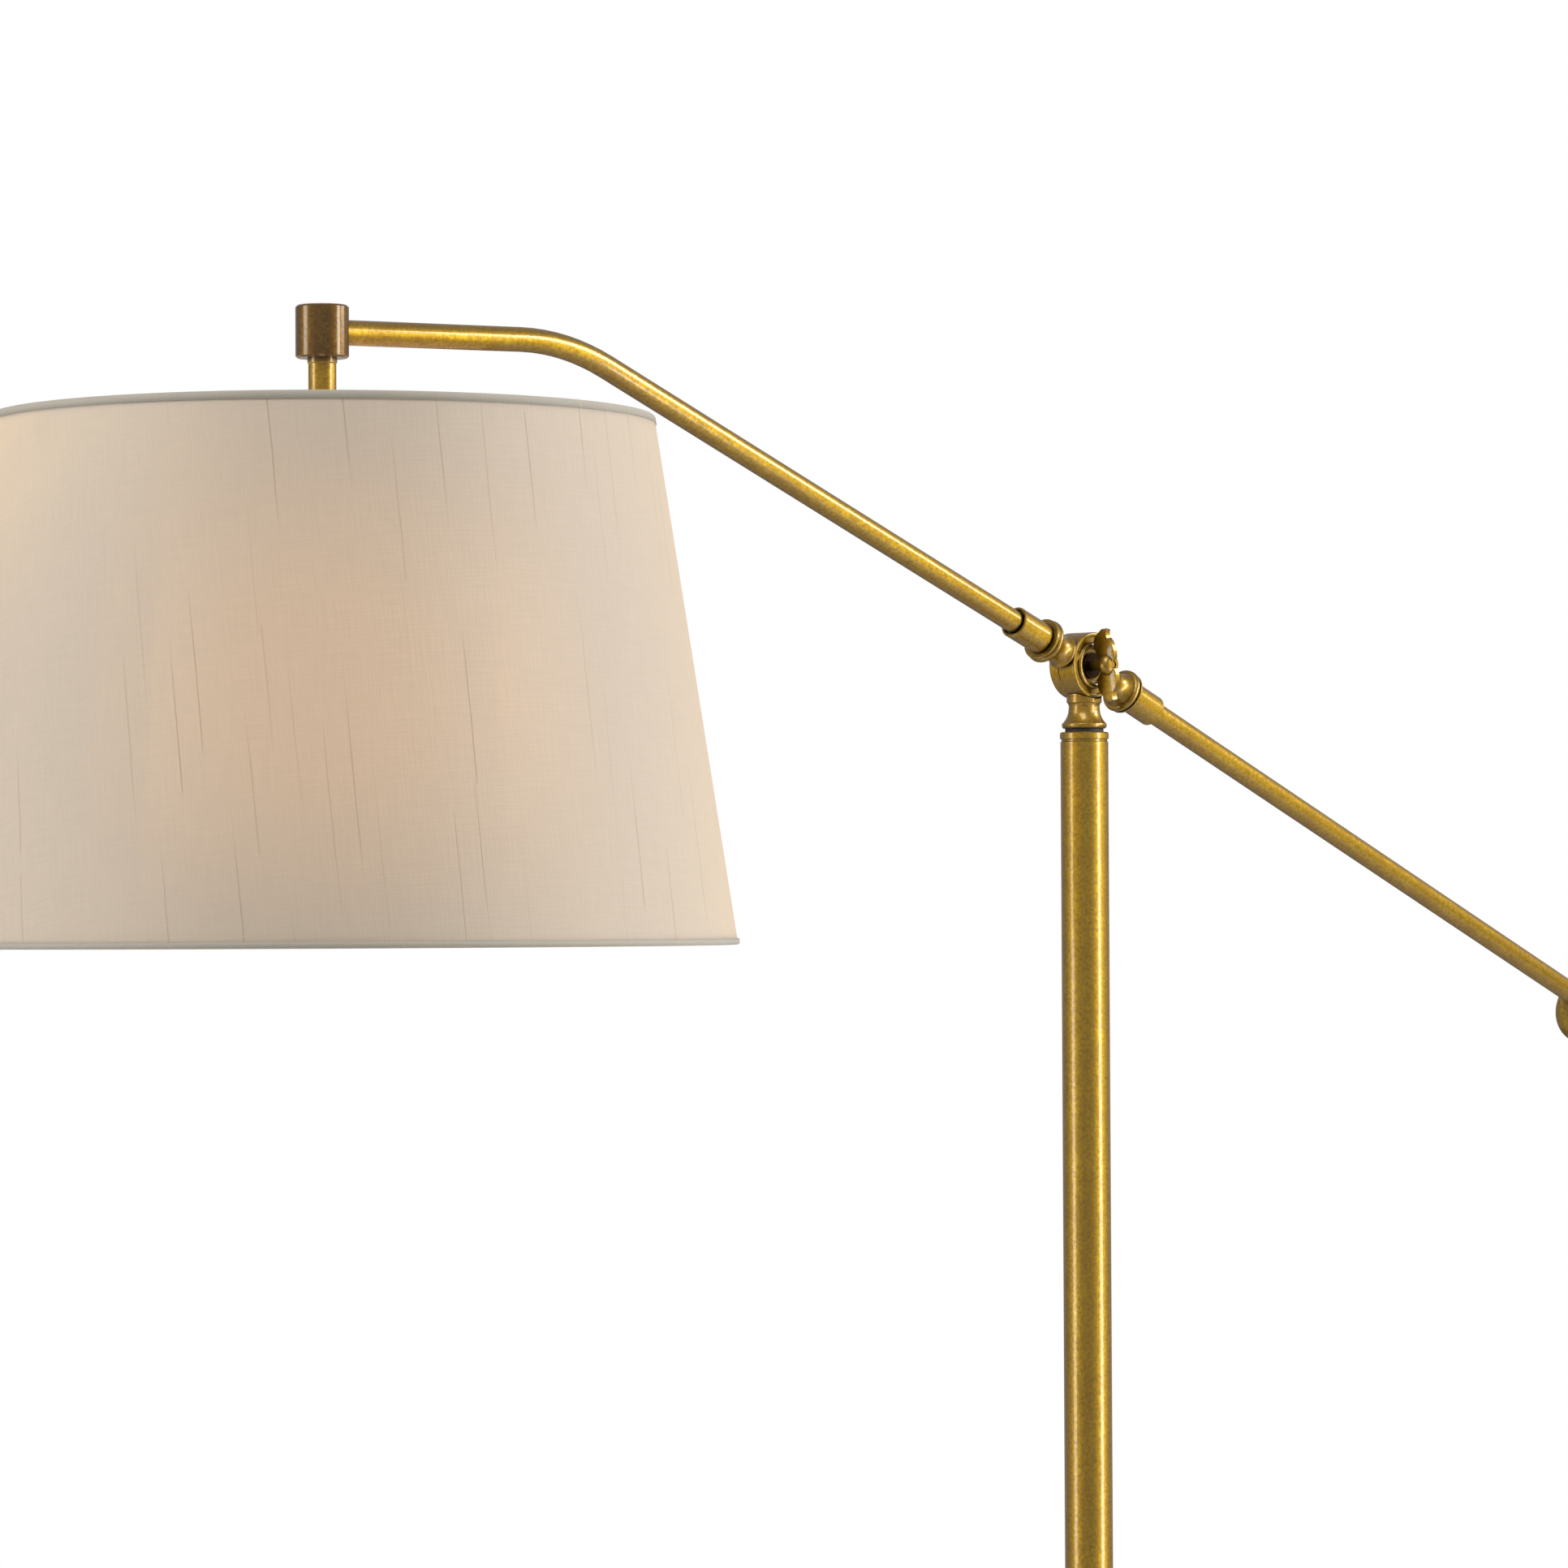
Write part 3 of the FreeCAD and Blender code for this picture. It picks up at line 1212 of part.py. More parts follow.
def screw_shell():
    outer = SCREW_SHELL_D / 2
    low = BLOCK_BOTTOM - SCREW_SHELL_LENGTH
    return on_head(turned(
        (outer - SCREW_SHELL_WALL, low),
        (outer + 0.8, low),
        (outer + 0.8, low + SCREW_SHELL_WALL),
        (outer, low + SCREW_SHELL_WALL + 0.5),
        (outer, BLOCK_BOTTOM),
        (outer - SCREW_SHELL_WALL, BLOCK_BOTTOM),
    ))


def switch_spindle():
    start = HOLDER_R + KNOB_CLEARANCE
    return spindle_bar(SPINDLE_D / 2, HOLDER_R - SPINDLE_DEPTH, start + KNOB_LENGTH / 2)


def switch_knob():
    """Fluted turn knob on the switch spindle."""
    r = KNOB_D / 2
    start = HOLDER_R + KNOB_CLEARANCE
    end = start + KNOB_LENGTH
    knob = turned(
        (0, start),
        (r - 0.4, start),
        (r, start + 0.4),
        (r, end - 1.2),
        bow((r - 1.2, end - 1.2), 1.2, 0, 90),
        (0, end),
    )
    for index in range(KNOB_FLUTES):
        flute = rod(KNOB_FLUTE_D / 2, start - 1, end - 2.4).translated(V(r + 0.3, 0, 0))
        knob = knob.cut(flute.rotated(V(0, 0, 0), V(0, 0, 1), index * 360 / KNOB_FLUTES))
    knob = knob.cut(rod(SPINDLE_D / 2 + SEAT_FIT, start - 1, start + KNOB_LENGTH / 2))
    knob = knob.rotated(V(0, 0, 0), V(1, 0, 0), 90)
    return on_head(knob.translated(V(0, 0, KNOB_HEIGHT)))


# ---- bulb ----
BULB_SEAT = BULB_TIP - BULB_CAP_LENGTH
BULB_BOTTOM = BULB_TIP - BULB_LENGTH
BULB_CENTRE = BULB_BOTTOM + BULB_D / 2


def bulb_cap():
    """Screw cap of the bulb, with the insulator cone and tip on top."""
    r = BULB_CAP_D / 2
    wall = BULB_CAP_WALL
    button = (CONTACT_D / 2, BULB_TIP - BULB_BUTTON)
    return on_head(turned(
        (0, BULB_SEAT + 2 * wall),
        (r - wall, BULB_SEAT + 2 * wall),
        (r - wall, BULB_SEAT),
        (r, BULB_SEAT),
        (r, BULB_TIP - BULB_BUTTON - BULB_CONE),
        (button[0] + wall, button[1]),
        button,
        dome(button, BULB_TIP),
    ))


def bulb_skin(inset):
    """The glass globe and its neck, set in by a wall, open at the screw cap."""
    r = BULB_D / 2 - inset
    neck = BULB_CAP_D / 2 - BULB_CAP_WALL - SEAT_FIT - inset
    end = BULB_SEAT + BULB_CAP_WALL
    return turned(
        (0, BULB_CENTRE - r),
        bow((0, BULB_CENTRE), r, -90, BULB_GLOBE_END),
        ((neck + BULB_NECK_FLARE, BULB_SEAT - BULB_NECK), (neck, end)),
        (0, end),
    )


def bulb_glass():
    return on_head(bulb_skin(0).cut(bulb_skin(BULB_WALL)))


PIECES = {
    "felt_pad": felt_pad,
    "base_weight": base_weight,
    "base_cover": base_cover,
    "base_washer": base_washer,
    "base_locknut": base_locknut,
    "base_tie": base_tie,
    "cord_gland": cord_gland,
    "pole_foot": pole_foot,
    "foot_plug": foot_plug,
    "pole_lower": pole_lower,
    "pole_joiner": pole_joiner,
    "pole_upper": pole_upper,
    "swivel_bush": swivel_bush,
    "swivel_washer": swivel_washer,
    "swivel_stop_screw": swivel_stop_screw,
    "pole_neck": pole_neck,
    "friction_disc": friction_disc,
    "tilt_stop_pin": tilt_stop_pin,
    "pivot_bolt": pivot_bolt,
    "clamp_washer": clamp_washer,
    "wing_nut": wing_nut,
    "arm_drum": arm_drum,
    "front_coupler": lambda: on_front_arm(coupler()),
    "front_sleeve": lambda: on_front_arm(sleeve()),
    "front_arm_tube": front_arm_tube,
    "rear_coupler": lambda: on_rear_arm(coupler()),
    "rear_sleeve": lambda: on_rear_arm(sleeve()),
    "rear_arm_tube": rear_arm_tube,
    "counterweight": counterweight,
    "counterweight_screw": counterweight_screw,
    "end_finial": end_finial,
    "end_cap": end_cap,
    "head_stem": head_stem,
    "head_nipple": head_nipple,
    "shade_fabric": shade_fabric,
    "shade_liner": shade_liner,
    "shade_top_trim": shade_top_trim,
    "shade_bottom_trim": shade_bottom_trim,
    "shade_bottom_ring": shade_bottom_ring,
    "shade_spider": shade_spider,
    "shade_washer": shade_washer,
    "shade_locknut": shade_locknut,
    "holder_cap": holder_cap,
    "holder_shell": holder_shell,
    "holder_lining": holder_lining,
    "switch_block": switch_block,
    "centre_contact": centre_contact,
    "screw_shell": screw_shell,
    "switch_spindle": switch_spindle,
    "switch_knob": switch_knob,
    "bulb_cap": bulb_cap,
    "bulb_glass": bulb_glass,
}

for name, make in PIECES.items():
    shape = make()
    shape.exportStep("parts/" + name + ".step")
    print(name, "solids", len(shape.Solids), "volume", round(shape.Volume, 1))
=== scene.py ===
import math

import bpy
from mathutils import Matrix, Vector


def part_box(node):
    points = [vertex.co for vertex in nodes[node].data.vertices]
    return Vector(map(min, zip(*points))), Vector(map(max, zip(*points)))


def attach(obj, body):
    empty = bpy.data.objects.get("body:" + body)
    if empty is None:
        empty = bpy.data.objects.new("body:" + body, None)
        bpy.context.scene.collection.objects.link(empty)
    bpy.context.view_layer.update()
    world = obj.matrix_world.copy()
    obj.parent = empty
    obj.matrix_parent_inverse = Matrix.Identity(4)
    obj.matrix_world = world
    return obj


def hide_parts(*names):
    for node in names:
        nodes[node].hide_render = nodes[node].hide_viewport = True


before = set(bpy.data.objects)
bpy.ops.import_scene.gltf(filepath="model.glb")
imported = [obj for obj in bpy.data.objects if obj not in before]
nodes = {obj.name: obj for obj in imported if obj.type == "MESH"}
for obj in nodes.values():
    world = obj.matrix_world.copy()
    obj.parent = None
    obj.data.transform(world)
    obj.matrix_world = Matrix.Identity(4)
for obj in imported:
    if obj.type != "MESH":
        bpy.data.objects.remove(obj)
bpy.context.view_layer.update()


# ---- The photographer's set ----
# A long lens at chest height looks slightly up at the knuckle, with the shade's side and the
# wing nut towards it. A pale floor and a plain white surround stand in for the studio.
LENS_MM = 143.5
SENSOR_MM = 36.0
SIGHT_M = 50.0
CAMERA_AT = (-2.5305, -2.1368, 1.2202)
CAMERA_YAW = 42.932
CAMERA_PITCH = 1.175
CAMERA_ROLL = -0.273
FLOOR_SIZE = 10.0
FLOOR_HEX = "F1F0EC"


def colour(code):
    """An sRGB hex value as linear red, green, blue and alpha."""
    parts = [int(code[i:i + 2], 16) / 255 for i in (0, 2, 4)]
    return tuple(p / 12.92 if p < 0.04045 else ((p + 0.055) / 1.055) ** 2.4 for p in parts) + (1.0,)


def add_node(tree, kind, settings=None, **inputs):
    """Add a node with its settings. An input is a value, or an output socket to link."""
    made = tree.nodes.new(kind)
    for name, value in (settings or {}).items():
        setattr(made, name, value)
    for name, value in inputs.items():
        socket = made.inputs[int(name[1:])] if name[0] == "_" else made.inputs[name.replace("_", " ")]
        if isinstance(value, bpy.types.NodeSocket):
            tree.links.new(value, socket)
        else:
            socket.default_value = value
    return made


def new_material(name):
    """An empty material: its node tree, its shader and the object's own coordinates."""
    material = bpy.data.materials.new(name)
    material.use_nodes = True
    tree = material.node_tree
    tree.nodes.clear()
    shader = add_node(tree, "ShaderNodeBsdfPrincipled")
    add_node(tree, "ShaderNodeOutputMaterial", Surface=shader.outputs[0])
    place = add_node(tree, "ShaderNodeTexCoord").outputs["Object"]
    return material, tree, shader, place


def set_inputs(tree, shader, **inputs):
    """Set or link a shader's sockets."""
    for name, value in inputs.items():
        socket = shader.inputs[name.replace("_", " ")]
        if isinstance(value, bpy.types.NodeSocket):
            tree.links.new(value, socket)
        else:
            socket.default_value = value


camera = bpy.data.objects.new("camera", bpy.data.cameras.new("camera"))
bpy.context.scene.collection.objects.link(camera)
camera.data.lens = LENS_MM
camera.data.sensor_width = SENSOR_MM
camera.data.clip_end = SIGHT_M
yaw, pitch, roll = (math.radians(a) for a in (CAMERA_YAW, CAMERA_PITCH, CAMERA_ROLL))
ahead = Vector((math.cos(pitch) * math.cos(yaw), math.cos(pitch) * math.sin(yaw), math.sin(pitch)))
turn = ahead.to_track_quat("-Z", "Y").to_matrix().to_4x4()
turn.translation = CAMERA_AT
camera.matrix_world = turn
camera.rotation_euler.rotate_axis("Z", roll)
bpy.context.scene.camera = camera
bpy.context.scene.view_settings.view_transform = "Standard"

bpy.ops.object.select_all(action="DESELECT")
bpy.ops.mesh.primitive_plane_add(size=FLOOR_SIZE, location=(0, 0, 0))
floor = bpy.context.object
floor.name = "floor"
painted_floor, tree, shader, place = new_material("painted_floor")
set_inputs(tree, shader, Base_Color=colour(FLOOR_HEX), Roughness=0.9, Specular_IOR_Level=0.2)
floor.data.materials.append(painted_floor)

# Each soft box has its place, its size in metres and its power in watts. Two tall ones stand at
# the object's sides, the stronger one on the right. A wide one hangs overhead, and a small one
# is behind the right shoulder of the arm. They give the tubes their long streaks.
SOFT_BOXES = {
    "key_box": ((0.95, -2.35, 1.25), (0.7, 2.4), 56.0),
    "fill_box": ((-2.3, 1.0, 1.3), (0.7, 2.4), 32.0),
    "top_box": ((-1.5, -0.7, 3.2), (1.6, 1.6), 40.0),
    "arm_box": ((1.7, -1.5, 2.2), (0.9, 0.9), 30.0),
}
AIM = Vector((-0.2, 0.0, 1.3))
for name, (at, size, power) in SOFT_BOXES.items():
    light = bpy.data.lights.new(name, "AREA")
    light.shape = "RECTANGLE"
    light.size, light.size_y = size
    light.energy = power
    box = bpy.data.objects.new(name, light)
    bpy.context.scene.collection.objects.link(box)
    box.location = at
    box.rotation_euler = (AIM - Vector(at)).to_track_quat("-Z", "Y").to_euler()

# The studio is white to the eye, half as bright in the metal and dim as a source of light.
SURROUND_LEVEL = 0.09
SURROUND_GLOSS = 0.5
world = bpy.data.worlds.new("white_surround")
bpy.context.scene.world = world
world.use_nodes = True
tree = world.node_tree
tree.nodes.clear()
path = add_node(tree, "ShaderNodeLightPath")
mirrored = add_node(tree, "ShaderNodeMapRange", _0=path.outputs["Is Glossy Ray"], _3=SURROUND_LEVEL,
                    _4=SURROUND_GLOSS)
seen = add_node(tree, "ShaderNodeMath", {"operation": "MAXIMUM"},
                _0=path.outputs["Is Camera Ray"], _1=path.outputs["Is Transmission Ray"])
level = add_node(tree, "ShaderNodeMath", {"operation": "MAXIMUM"}, _0=seen.outputs[0], _1=mirrored.outputs[0])
surround = add_node(tree, "ShaderNodeBackground", Color=(1, 1, 1, 1), Strength=level.outputs[0])
add_node(tree, "ShaderNodeOutputWorld", Surface=surround.outputs[0])


# ---- Foot pad ----
# A disc of pressed wool felt glued under the weight, so that the iron doesn't mark the floor.
FELT_HEX = "23261F"
FELT_SOFT = 0.0005
FELT_SIDES = 128
FELT_SHARP = math.radians(50)


def plain_finish(name, code, grain_mm, metallic=0.0, rough=(0.5, 0.6), spread=0.2, bump_mm=0.05):
    """A finish of one colour, with a grain that the eye reads in its colour, gloss and surface."""
    material, tree, shader, place = new_material(name)
    grain = add_node(tree, "ShaderNodeTexNoise", Vector=place, Scale=1000 / grain_mm, Detail=4.0)
    shade = add_node(tree, "ShaderNodeMapRange", _0=grain.outputs[0], _1=0.3, _2=0.7,
                     _3=1 - spread, _4=1 + spread)
    tinted = add_node(tree, "ShaderNodeMix", {"data_type": "RGBA", "blend_type": "MULTIPLY"}, _0=1.0,
                      _6=colour(code), _7=shade.outputs[0])
    gloss = add_node(tree, "ShaderNodeMapRange", _0=grain.outputs[0], _3=rough[0], _4=rough[1])
    bump = add_node(tree, "ShaderNodeBump", Strength=0.4, Distance=bump_mm / 1000, Height=grain.outputs[0])
    set_inputs(tree, shader, Base_Color=tinted.outputs[2], Metallic=metallic,
               Roughness=gloss.outputs[0], Normal=bump.outputs[0])
    return material


felt_low, felt_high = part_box("felt_pad")
felt_size = felt_high - felt_low
bpy.ops.object.select_all(action="DESELECT")
bpy.ops.mesh.primitive_cylinder_add(vertices=FELT_SIDES, radius=felt_size.x / 2, depth=felt_size.z,
                                    location=(felt_low + felt_high) / 2)
felt = bpy.context.object
felt.name = "pressed_felt"
bpy.ops.object.transform_apply(location=True, rotation=True, scale=True)
soft = felt.modifiers.new("soft", "BEVEL")
soft.width = FELT_SOFT
soft.segments = 2
bpy.ops.object.modifier_apply(modifier="soft")
bpy.ops.object.shade_smooth_by_angle(angle=FELT_SHARP)
wool = plain_finish("felt_pressed_wool", FELT_HEX, 0.6, rough=(0.9, 1.0), spread=0.5, bump_mm=0.5)
felt.data.materials.append(wool)
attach(felt, "stand")
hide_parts("felt_pad")


# ---- Antique brass ----
# Brass that is darkened in a bath, relieved by hand with a fine pad and lacquered satin. The
# colour stays nearly black in the hollows, is mottled on the open faces and is worn bright
# on the edges. The lacquer gives the pale core of each streak.
BRASS_HEX = "A8871C"
BRASS_DARK_HEX = "7C5D16"
BRASS_WORN_HEX = "CFAE62"
BRASS_HOLLOW_HEX = "1E1408"
BRASS_EDGE_TINT_HEX = "C9A866"
MOTTLE_MM = 1.6         # drawn as coarse as it needs to show
CLOUD_MM = 14.0
MARKS_PER_M = 900.0
MARK_STRETCH = 0.02     # width of a drawing mark over its length
RELIEF_FROM, RELIEF_FULL = 0.3, 0.66
CLOUD_LEAST = 0.55
HOLLOW_MM = 5.0
HOLLOW_SHUT, HOLLOW_OPEN = 0.35, 0.92
EDGE_MM = 0.6
EDGE_FROM, EDGE_FULL = 0.95, 0.75
EDGE_SHARE = 0.4
BRASS_ROUGH_DARK, BRASS_ROUGH_RELIEVED = 0.5, 0.42
BRASS_BUMP = 0.08
BRASS_BUMP_M = 0.0002
LACQUER = 0.85
LACQUER_ROUGH = 0.12
DRAWN_MARKS = 0.6
FRONT_LEAN = -69.2
REAR_LEAN = -67.7


def finish_node(material, *names):
    """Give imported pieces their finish."""
    for name in names:
        slots = nodes[name].data.materials
        slots.clear()
        slots.append(material)


def antique_brass(name, lean=0.0, drawn=0.0, hollow=1.0, base=BRASS_HEX, dark=BRASS_DARK_HEX, coat=LACQUER):
    """Darkened and relieved brass. drawn is the strength of the marks along its axis, at a lean."""
    material, tree, shader, place = new_material(name)
    mottle = add_node(tree, "ShaderNodeTexNoise", Vector=place, Scale=1000 / MOTTLE_MM, Detail=3.0,
                      Roughness=0.6)
    cloud = add_node(tree, "ShaderNodeTexNoise", Vector=place, Scale=1000 / CLOUD_MM, Detail=2.0)
    along = add_node(tree, "ShaderNodeMapping", Vector=place, Rotation=(0, math.radians(lean), 0),
                     Scale=(1, 1, MARK_STRETCH))
    marks = add_node(tree, "ShaderNodeTexNoise", Vector=along.outputs[0], Scale=MARKS_PER_M, Detail=2.0)
    spots = add_node(tree, "ShaderNodeMapRange", _0=mottle.outputs[0], _1=RELIEF_FROM, _2=RELIEF_FULL)
    haze = add_node(tree, "ShaderNodeMapRange", _0=cloud.outputs[0], _1=0.3, _2=0.7, _3=CLOUD_LEAST, _4=1.0)
    relief = add_node(tree, "ShaderNodeMath", {"operation": "MULTIPLY"}, _0=spots.outputs[0],
                      _1=haze.outputs[0])
    open_face = add_node(tree, "ShaderNodeMix", {"data_type": "RGBA"}, _0=relief.outputs[0],
                         _6=colour(dark), _7=colour(base))
    rounded = add_node(tree, "ShaderNodeBevel", {"samples": 6}, Radius=EDGE_MM / 1000)
    facing = add_node(tree, "ShaderNodeNewGeometry").outputs["Normal"]
    edge = add_node(tree, "ShaderNodeVectorMath", {"operation": "DOT_PRODUCT"}, _0=rounded.outputs[0],
                    _1=facing)
    worn = add_node(tree, "ShaderNodeMapRange", _0=edge.outputs["Value"], _1=EDGE_FROM, _2=EDGE_FULL,
                    _3=0.0, _4=EDGE_SHARE)
    shown = add_node(tree, "ShaderNodeMix", {"data_type": "RGBA"}, _0=worn.outputs[0],
                     _6=open_face.outputs[2], _7=colour(BRASS_WORN_HEX))
    depth = add_node(tree, "ShaderNodeAmbientOcclusion", {"samples": 8, "only_local": False},
                     Distance=HOLLOW_MM / 1000)
    kept = add_node(tree, "ShaderNodeMapRange", _0=depth.outputs["AO"], _1=HOLLOW_SHUT, _2=HOLLOW_OPEN,
                    _3=hollow, _4=0.0)
    final = add_node(tree, "ShaderNodeMix", {"data_type": "RGBA"}, _0=kept.outputs[0], _6=shown.outputs[2],
                     _7=colour(BRASS_HOLLOW_HEX))
    rough = add_node(tree, "ShaderNodeMapRange", _0=relief.outputs[0], _3=BRASS_ROUGH_DARK,
                     _4=BRASS_ROUGH_RELIEVED)
    height = add_node(tree, "ShaderNodeMath", {"operation": "MULTIPLY_ADD"}, _0=marks.outputs[0], _1=drawn,
                      _2=mottle.outputs[0])
    bump = add_node(tree, "ShaderNodeBump", Strength=BRASS_BUMP, Distance=BRASS_BUMP_M,
                    Height=height.outputs[0])
    set_inputs(tree, shader, Base_Color=final.outputs[2], Metallic=1.0, Roughness=rough.outputs[0],
               Normal=bump.outputs[0], Specular_Tint=colour(BRASS_EDGE_TINT_HEX), Coat_Weight=coat,
               Coat_Roughness=LACQUER_ROUGH)
    return material


# The tubes' marks run along each tube, at the slope that the arm has.
drawn_brass = antique_brass("antique_brass_drawn_tube", drawn=DRAWN_MARKS)
front_brass = antique_brass("antique_brass_front_tube", lean=FRONT_LEAN, drawn=DRAWN_MARKS)
rear_brass = antique_brass("antique_brass_rear_tube", lean=REAR_LEAN, drawn=DRAWN_MARKS)
turned_brass = antique_brass("antique_brass_turned")
cast_brass = antique_brass("antique_brass_cast", hollow=0.9, base="A07E22")
# The end cap gets a darker copy of the brass: partly a heavier patina, partly painted shade for the dim light
# and dark reflections at the cap.
cap_brass_painted_shade = antique_brass("antique_brass_darker_painted_shade", base="6E5018", dark="4C3510")
# The clamp washer is near-black all over: partly the patina of the drum's hollow, partly painted shade for
# the dark inside the drum's recess.
washer_brass_painted_shade = antique_brass("antique_brass_recess_painted_shade", base="1E1408", dark="140D05", coat=0.2)
finish_node(drawn_brass, "pole_lower", "pole_upper")
finish_node(front_brass, "front_arm_tube")
finish_node(rear_brass, "rear_arm_tube")
finish_node(turned_brass, "base_cover", "pole_foot", "swivel_bush", "front_sleeve", "rear_sleeve",
            "counterweight", "end_finial", "head_stem")
finish_node(cast_brass, "pole_neck", "pivot_bolt", "wing_nut", "arm_drum", "front_coupler", "rear_coupler")
finish_node(cap_brass_painted_shade, "end_cap")
finish_node(washer_brass_painted_shade, "clamp_washer")


# ---- Base underside and hardware ----
# Under the cover lie a cast-iron weight and plated steel fixings. The knuckle, the lamp holder
# and the shade are held by small parts of fibre, phenolic, brass, wire and aluminium. Each has
# the grain in mm and the gloss that the eye expects of it.
finish_node(plain_finish("cast_iron_sand_cast", "2B2B2D", 1.2, 0.6, (0.5, 0.75), 0.3, 0.4), "base_weight")
finish_node(plain_finish("steel_zinc_plated", "A9ABAE", 3.0, 1.0, (0.25, 0.4), 0.12, 0.02),
            "base_washer", "base_locknut", "base_tie", "foot_plug", "pole_joiner", "swivel_stop_screw",
            "tilt_stop_pin", "counterweight_screw", "switch_spindle")
finish_node(plain_finish("fibre_vulcanised", "2A1A10", 0.8, 0.0, (0.6, 0.75), 0.25, 0.05),
            "swivel_washer", "friction_disc")
finish_node(plain_finish("phenolic_moulded", "15110D", 2.0, 0.0, (0.25, 0.4), 0.2, 0.02),
            "cord_gland", "switch_block", "switch_knob")
finish_node(plain_finish("brass_polished", "C9A452", 4.0, 1.0, (0.12, 0.25), 0.08, 0.01),
            "head_nipple", "shade_washer", "shade_locknut", "holder_cap", "holder_shell",
            "centre_contact")
finish_node(plain_finish("wire_brass_plated", "C2A25E", 3.0, 1.0, (0.3, 0.42), 0.1, 0.02), "shade_spider",
            "shade_bottom_ring")
finish_node(plain_finish("fibreboard_lining", "A5814F", 0.5, 0.0, (0.85, 0.95), 0.15, 0.05), "holder_lining")
finish_node(plain_finish("aluminium_rolled", "C9CACC", 2.0, 1.0, (0.25, 0.38), 0.06, 0.01),
            "screw_shell", "bulb_cap")


# ---- Bulb ----
# A frosted glass bulb, lit: the glass itself glows evenly, warm as an incandescent lamp.
BULB_HEX = "FFDCAC"
BULB_GLOW = 10.5
BULB_GLASS_HEX = "FFF6EA"
FROST_MM = 2.5
glowing_glass, tree, shader, place = new_material("glass_frosted_lit")
frost = add_node(tree, "ShaderNodeTexNoise", Vector=place, Scale=1000 / FROST_MM)
even = add_node(tree, "ShaderNodeMapRange", _0=frost.outputs[0], _3=0.3, _4=0.4)
set_inputs(tree, shader, Base_Color=colour(BULB_GLASS_HEX), Roughness=even.outputs[0],
           Emission_Color=colour(BULB_HEX), Emission_Strength=BULB_GLOW)
finish_node(glowing_glass, "bulb_glass")


# ---- Shade ----
# Slubbed silk laminated to a styrene sheet and rolled into a cone, with the cloth turned over
# the wires at both ends. The slubs are thick places in the yarn and run nearly upright. The lamp
# shows through the cloth as a warm patch.
CLOTH_HEX = "D6CFC3"
SLUB_HEX = "BCAD99"
GLOW_HEX = "FFDC84"
# Painted shade: the turned edges' cloth, darker and greyer than the wall.
BINDING_PAINTED_SHADE_HEX = "AFA89B"
LINING_HEX = "F1EDE4"
CLOTH_SIDES = 240
CLOTH_ROWS = 6
THREAD_M = 0.0009       # the real weave is nearer 0.3 mm, too fine to show
STREAK_M = 0.022
SLUB_GAP_M = 0.011
SLUB_LENGTH_M = 0.085
SLUB_WIDTH = 0.045      # share of the gap
SLUB_FULL, SLUB_END = 0.15, 0.6     # shares of the length, from its middle
SLUB_CHANCE = 0.6       # share of the cells that have none
SLUB_DRIFT = 0.12
GRAIN_LEAN = -5.5
WEAVE_DARK, WEAVE_LIGHT = 0.98, 1.02
CLOTH_BUMP = 0.3
CLOTH_BUMP_M = 0.0002
CLOTH_ROUGH = 0.75
CLOTH_GLOSS = 0.25
CLOTH_SHEEN = 0.25
CLOTH_SHEEN_ROUGH = 0.4
WALL_THROUGH = 0.35     # share of the light that passes the cloth
FOLD_THROUGH = 0.08
AHEAD_SHARE = 0.68      # share of that light that keeps roughly to its way
AHEAD_IOR = 1.7
EDGE_M = 0.0005


def lathe(name, rings, axis, sides):
    """A round piece from a circle that is extruded from ring to ring, each a radius and a height."""
    bpy.ops.object.select_all(action="DESELECT")
    radius, height = rings[0]
    bpy.ops.mesh.primitive_circle_add(vertices=sides, radius=radius, location=(axis[0], axis[1], height))
    piece = bpy.context.object
    piece.name = name
    bpy.ops.object.transform_apply(location=True, rotation=True, scale=True)
    bpy.ops.object.mode_set(mode="EDIT")
    bpy.ops.mesh.select_all(action="SELECT")
    for (before, low), (after, high) in zip(rings, rings[1:]):
        bpy.ops.mesh.extrude_edges_move()
        bpy.ops.transform.resize(value=(after / before, after / before, 1),
                                 center_override=(axis[0], axis[1], low))
        bpy.ops.transform.translate(value=(0, 0, high - low))
    bpy.ops.mesh.select_all(action="SELECT")
    bpy.ops.mesh.normals_make_consistent(inside=False)
    bpy.ops.object.mode_set(mode="OBJECT")
    return piece


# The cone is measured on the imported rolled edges, which are the widest rings at its two ends.
low_edge, high_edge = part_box("shade_bottom_trim"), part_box("shade_top_trim")
shade_axis = ((low_edge[0].x + low_edge[1].x) / 2, (low_edge[0].y + low_edge[1].y) / 2)
bottom_z, top_z = low_edge[0].z, high_edge[1].z
bottom_r = (low_edge[1].y - low_edge[0].y) / 2
edge_r = (high_edge[1].y - high_edge[0].y) / 2
narrowing = (bottom_r - edge_r) / (high_edge[0].z - bottom_z)
lean = math.atan(narrowing)


def wall_radius(height, inset=0.0):
    """Radius of the cone at a height, set in by an amount at right angles to its wall."""
    return bottom_r - (height - bottom_z) * narrowing - inset / math.cos(lean)


def unroll(piece, turn_to):
    """A UV map of the cone rolled out flat, in metres, with its seam on the far side."""
    tip_z = bottom_z + bottom_r / narrowing
    layer = piece.data.uv_layers.new(name="flat_cloth")
    for face in piece.data.polygons:
        middle = face.center
        base = math.atan2(middle.y - shade_axis[1], middle.x - shade_axis[0]) - turn_to
        base = (base + math.pi) % (2 * math.pi) - math.pi
        for corner in face.loop_indices:
            at = piece.data.vertices[piece.data.loops[corner].vertex_index].co
            angle = math.atan2(at.y - shade_axis[1], at.x - shade_axis[0]) - turn_to
            angle += 2 * math.pi * round((base - angle) / (2 * math.pi))
            slant = (tip_z - at.z) / math.cos(lean)
            swing = angle * math.sin(lean)
            layer.data[corner].uv = (slant * math.sin(swing), -slant * math.cos(swing))


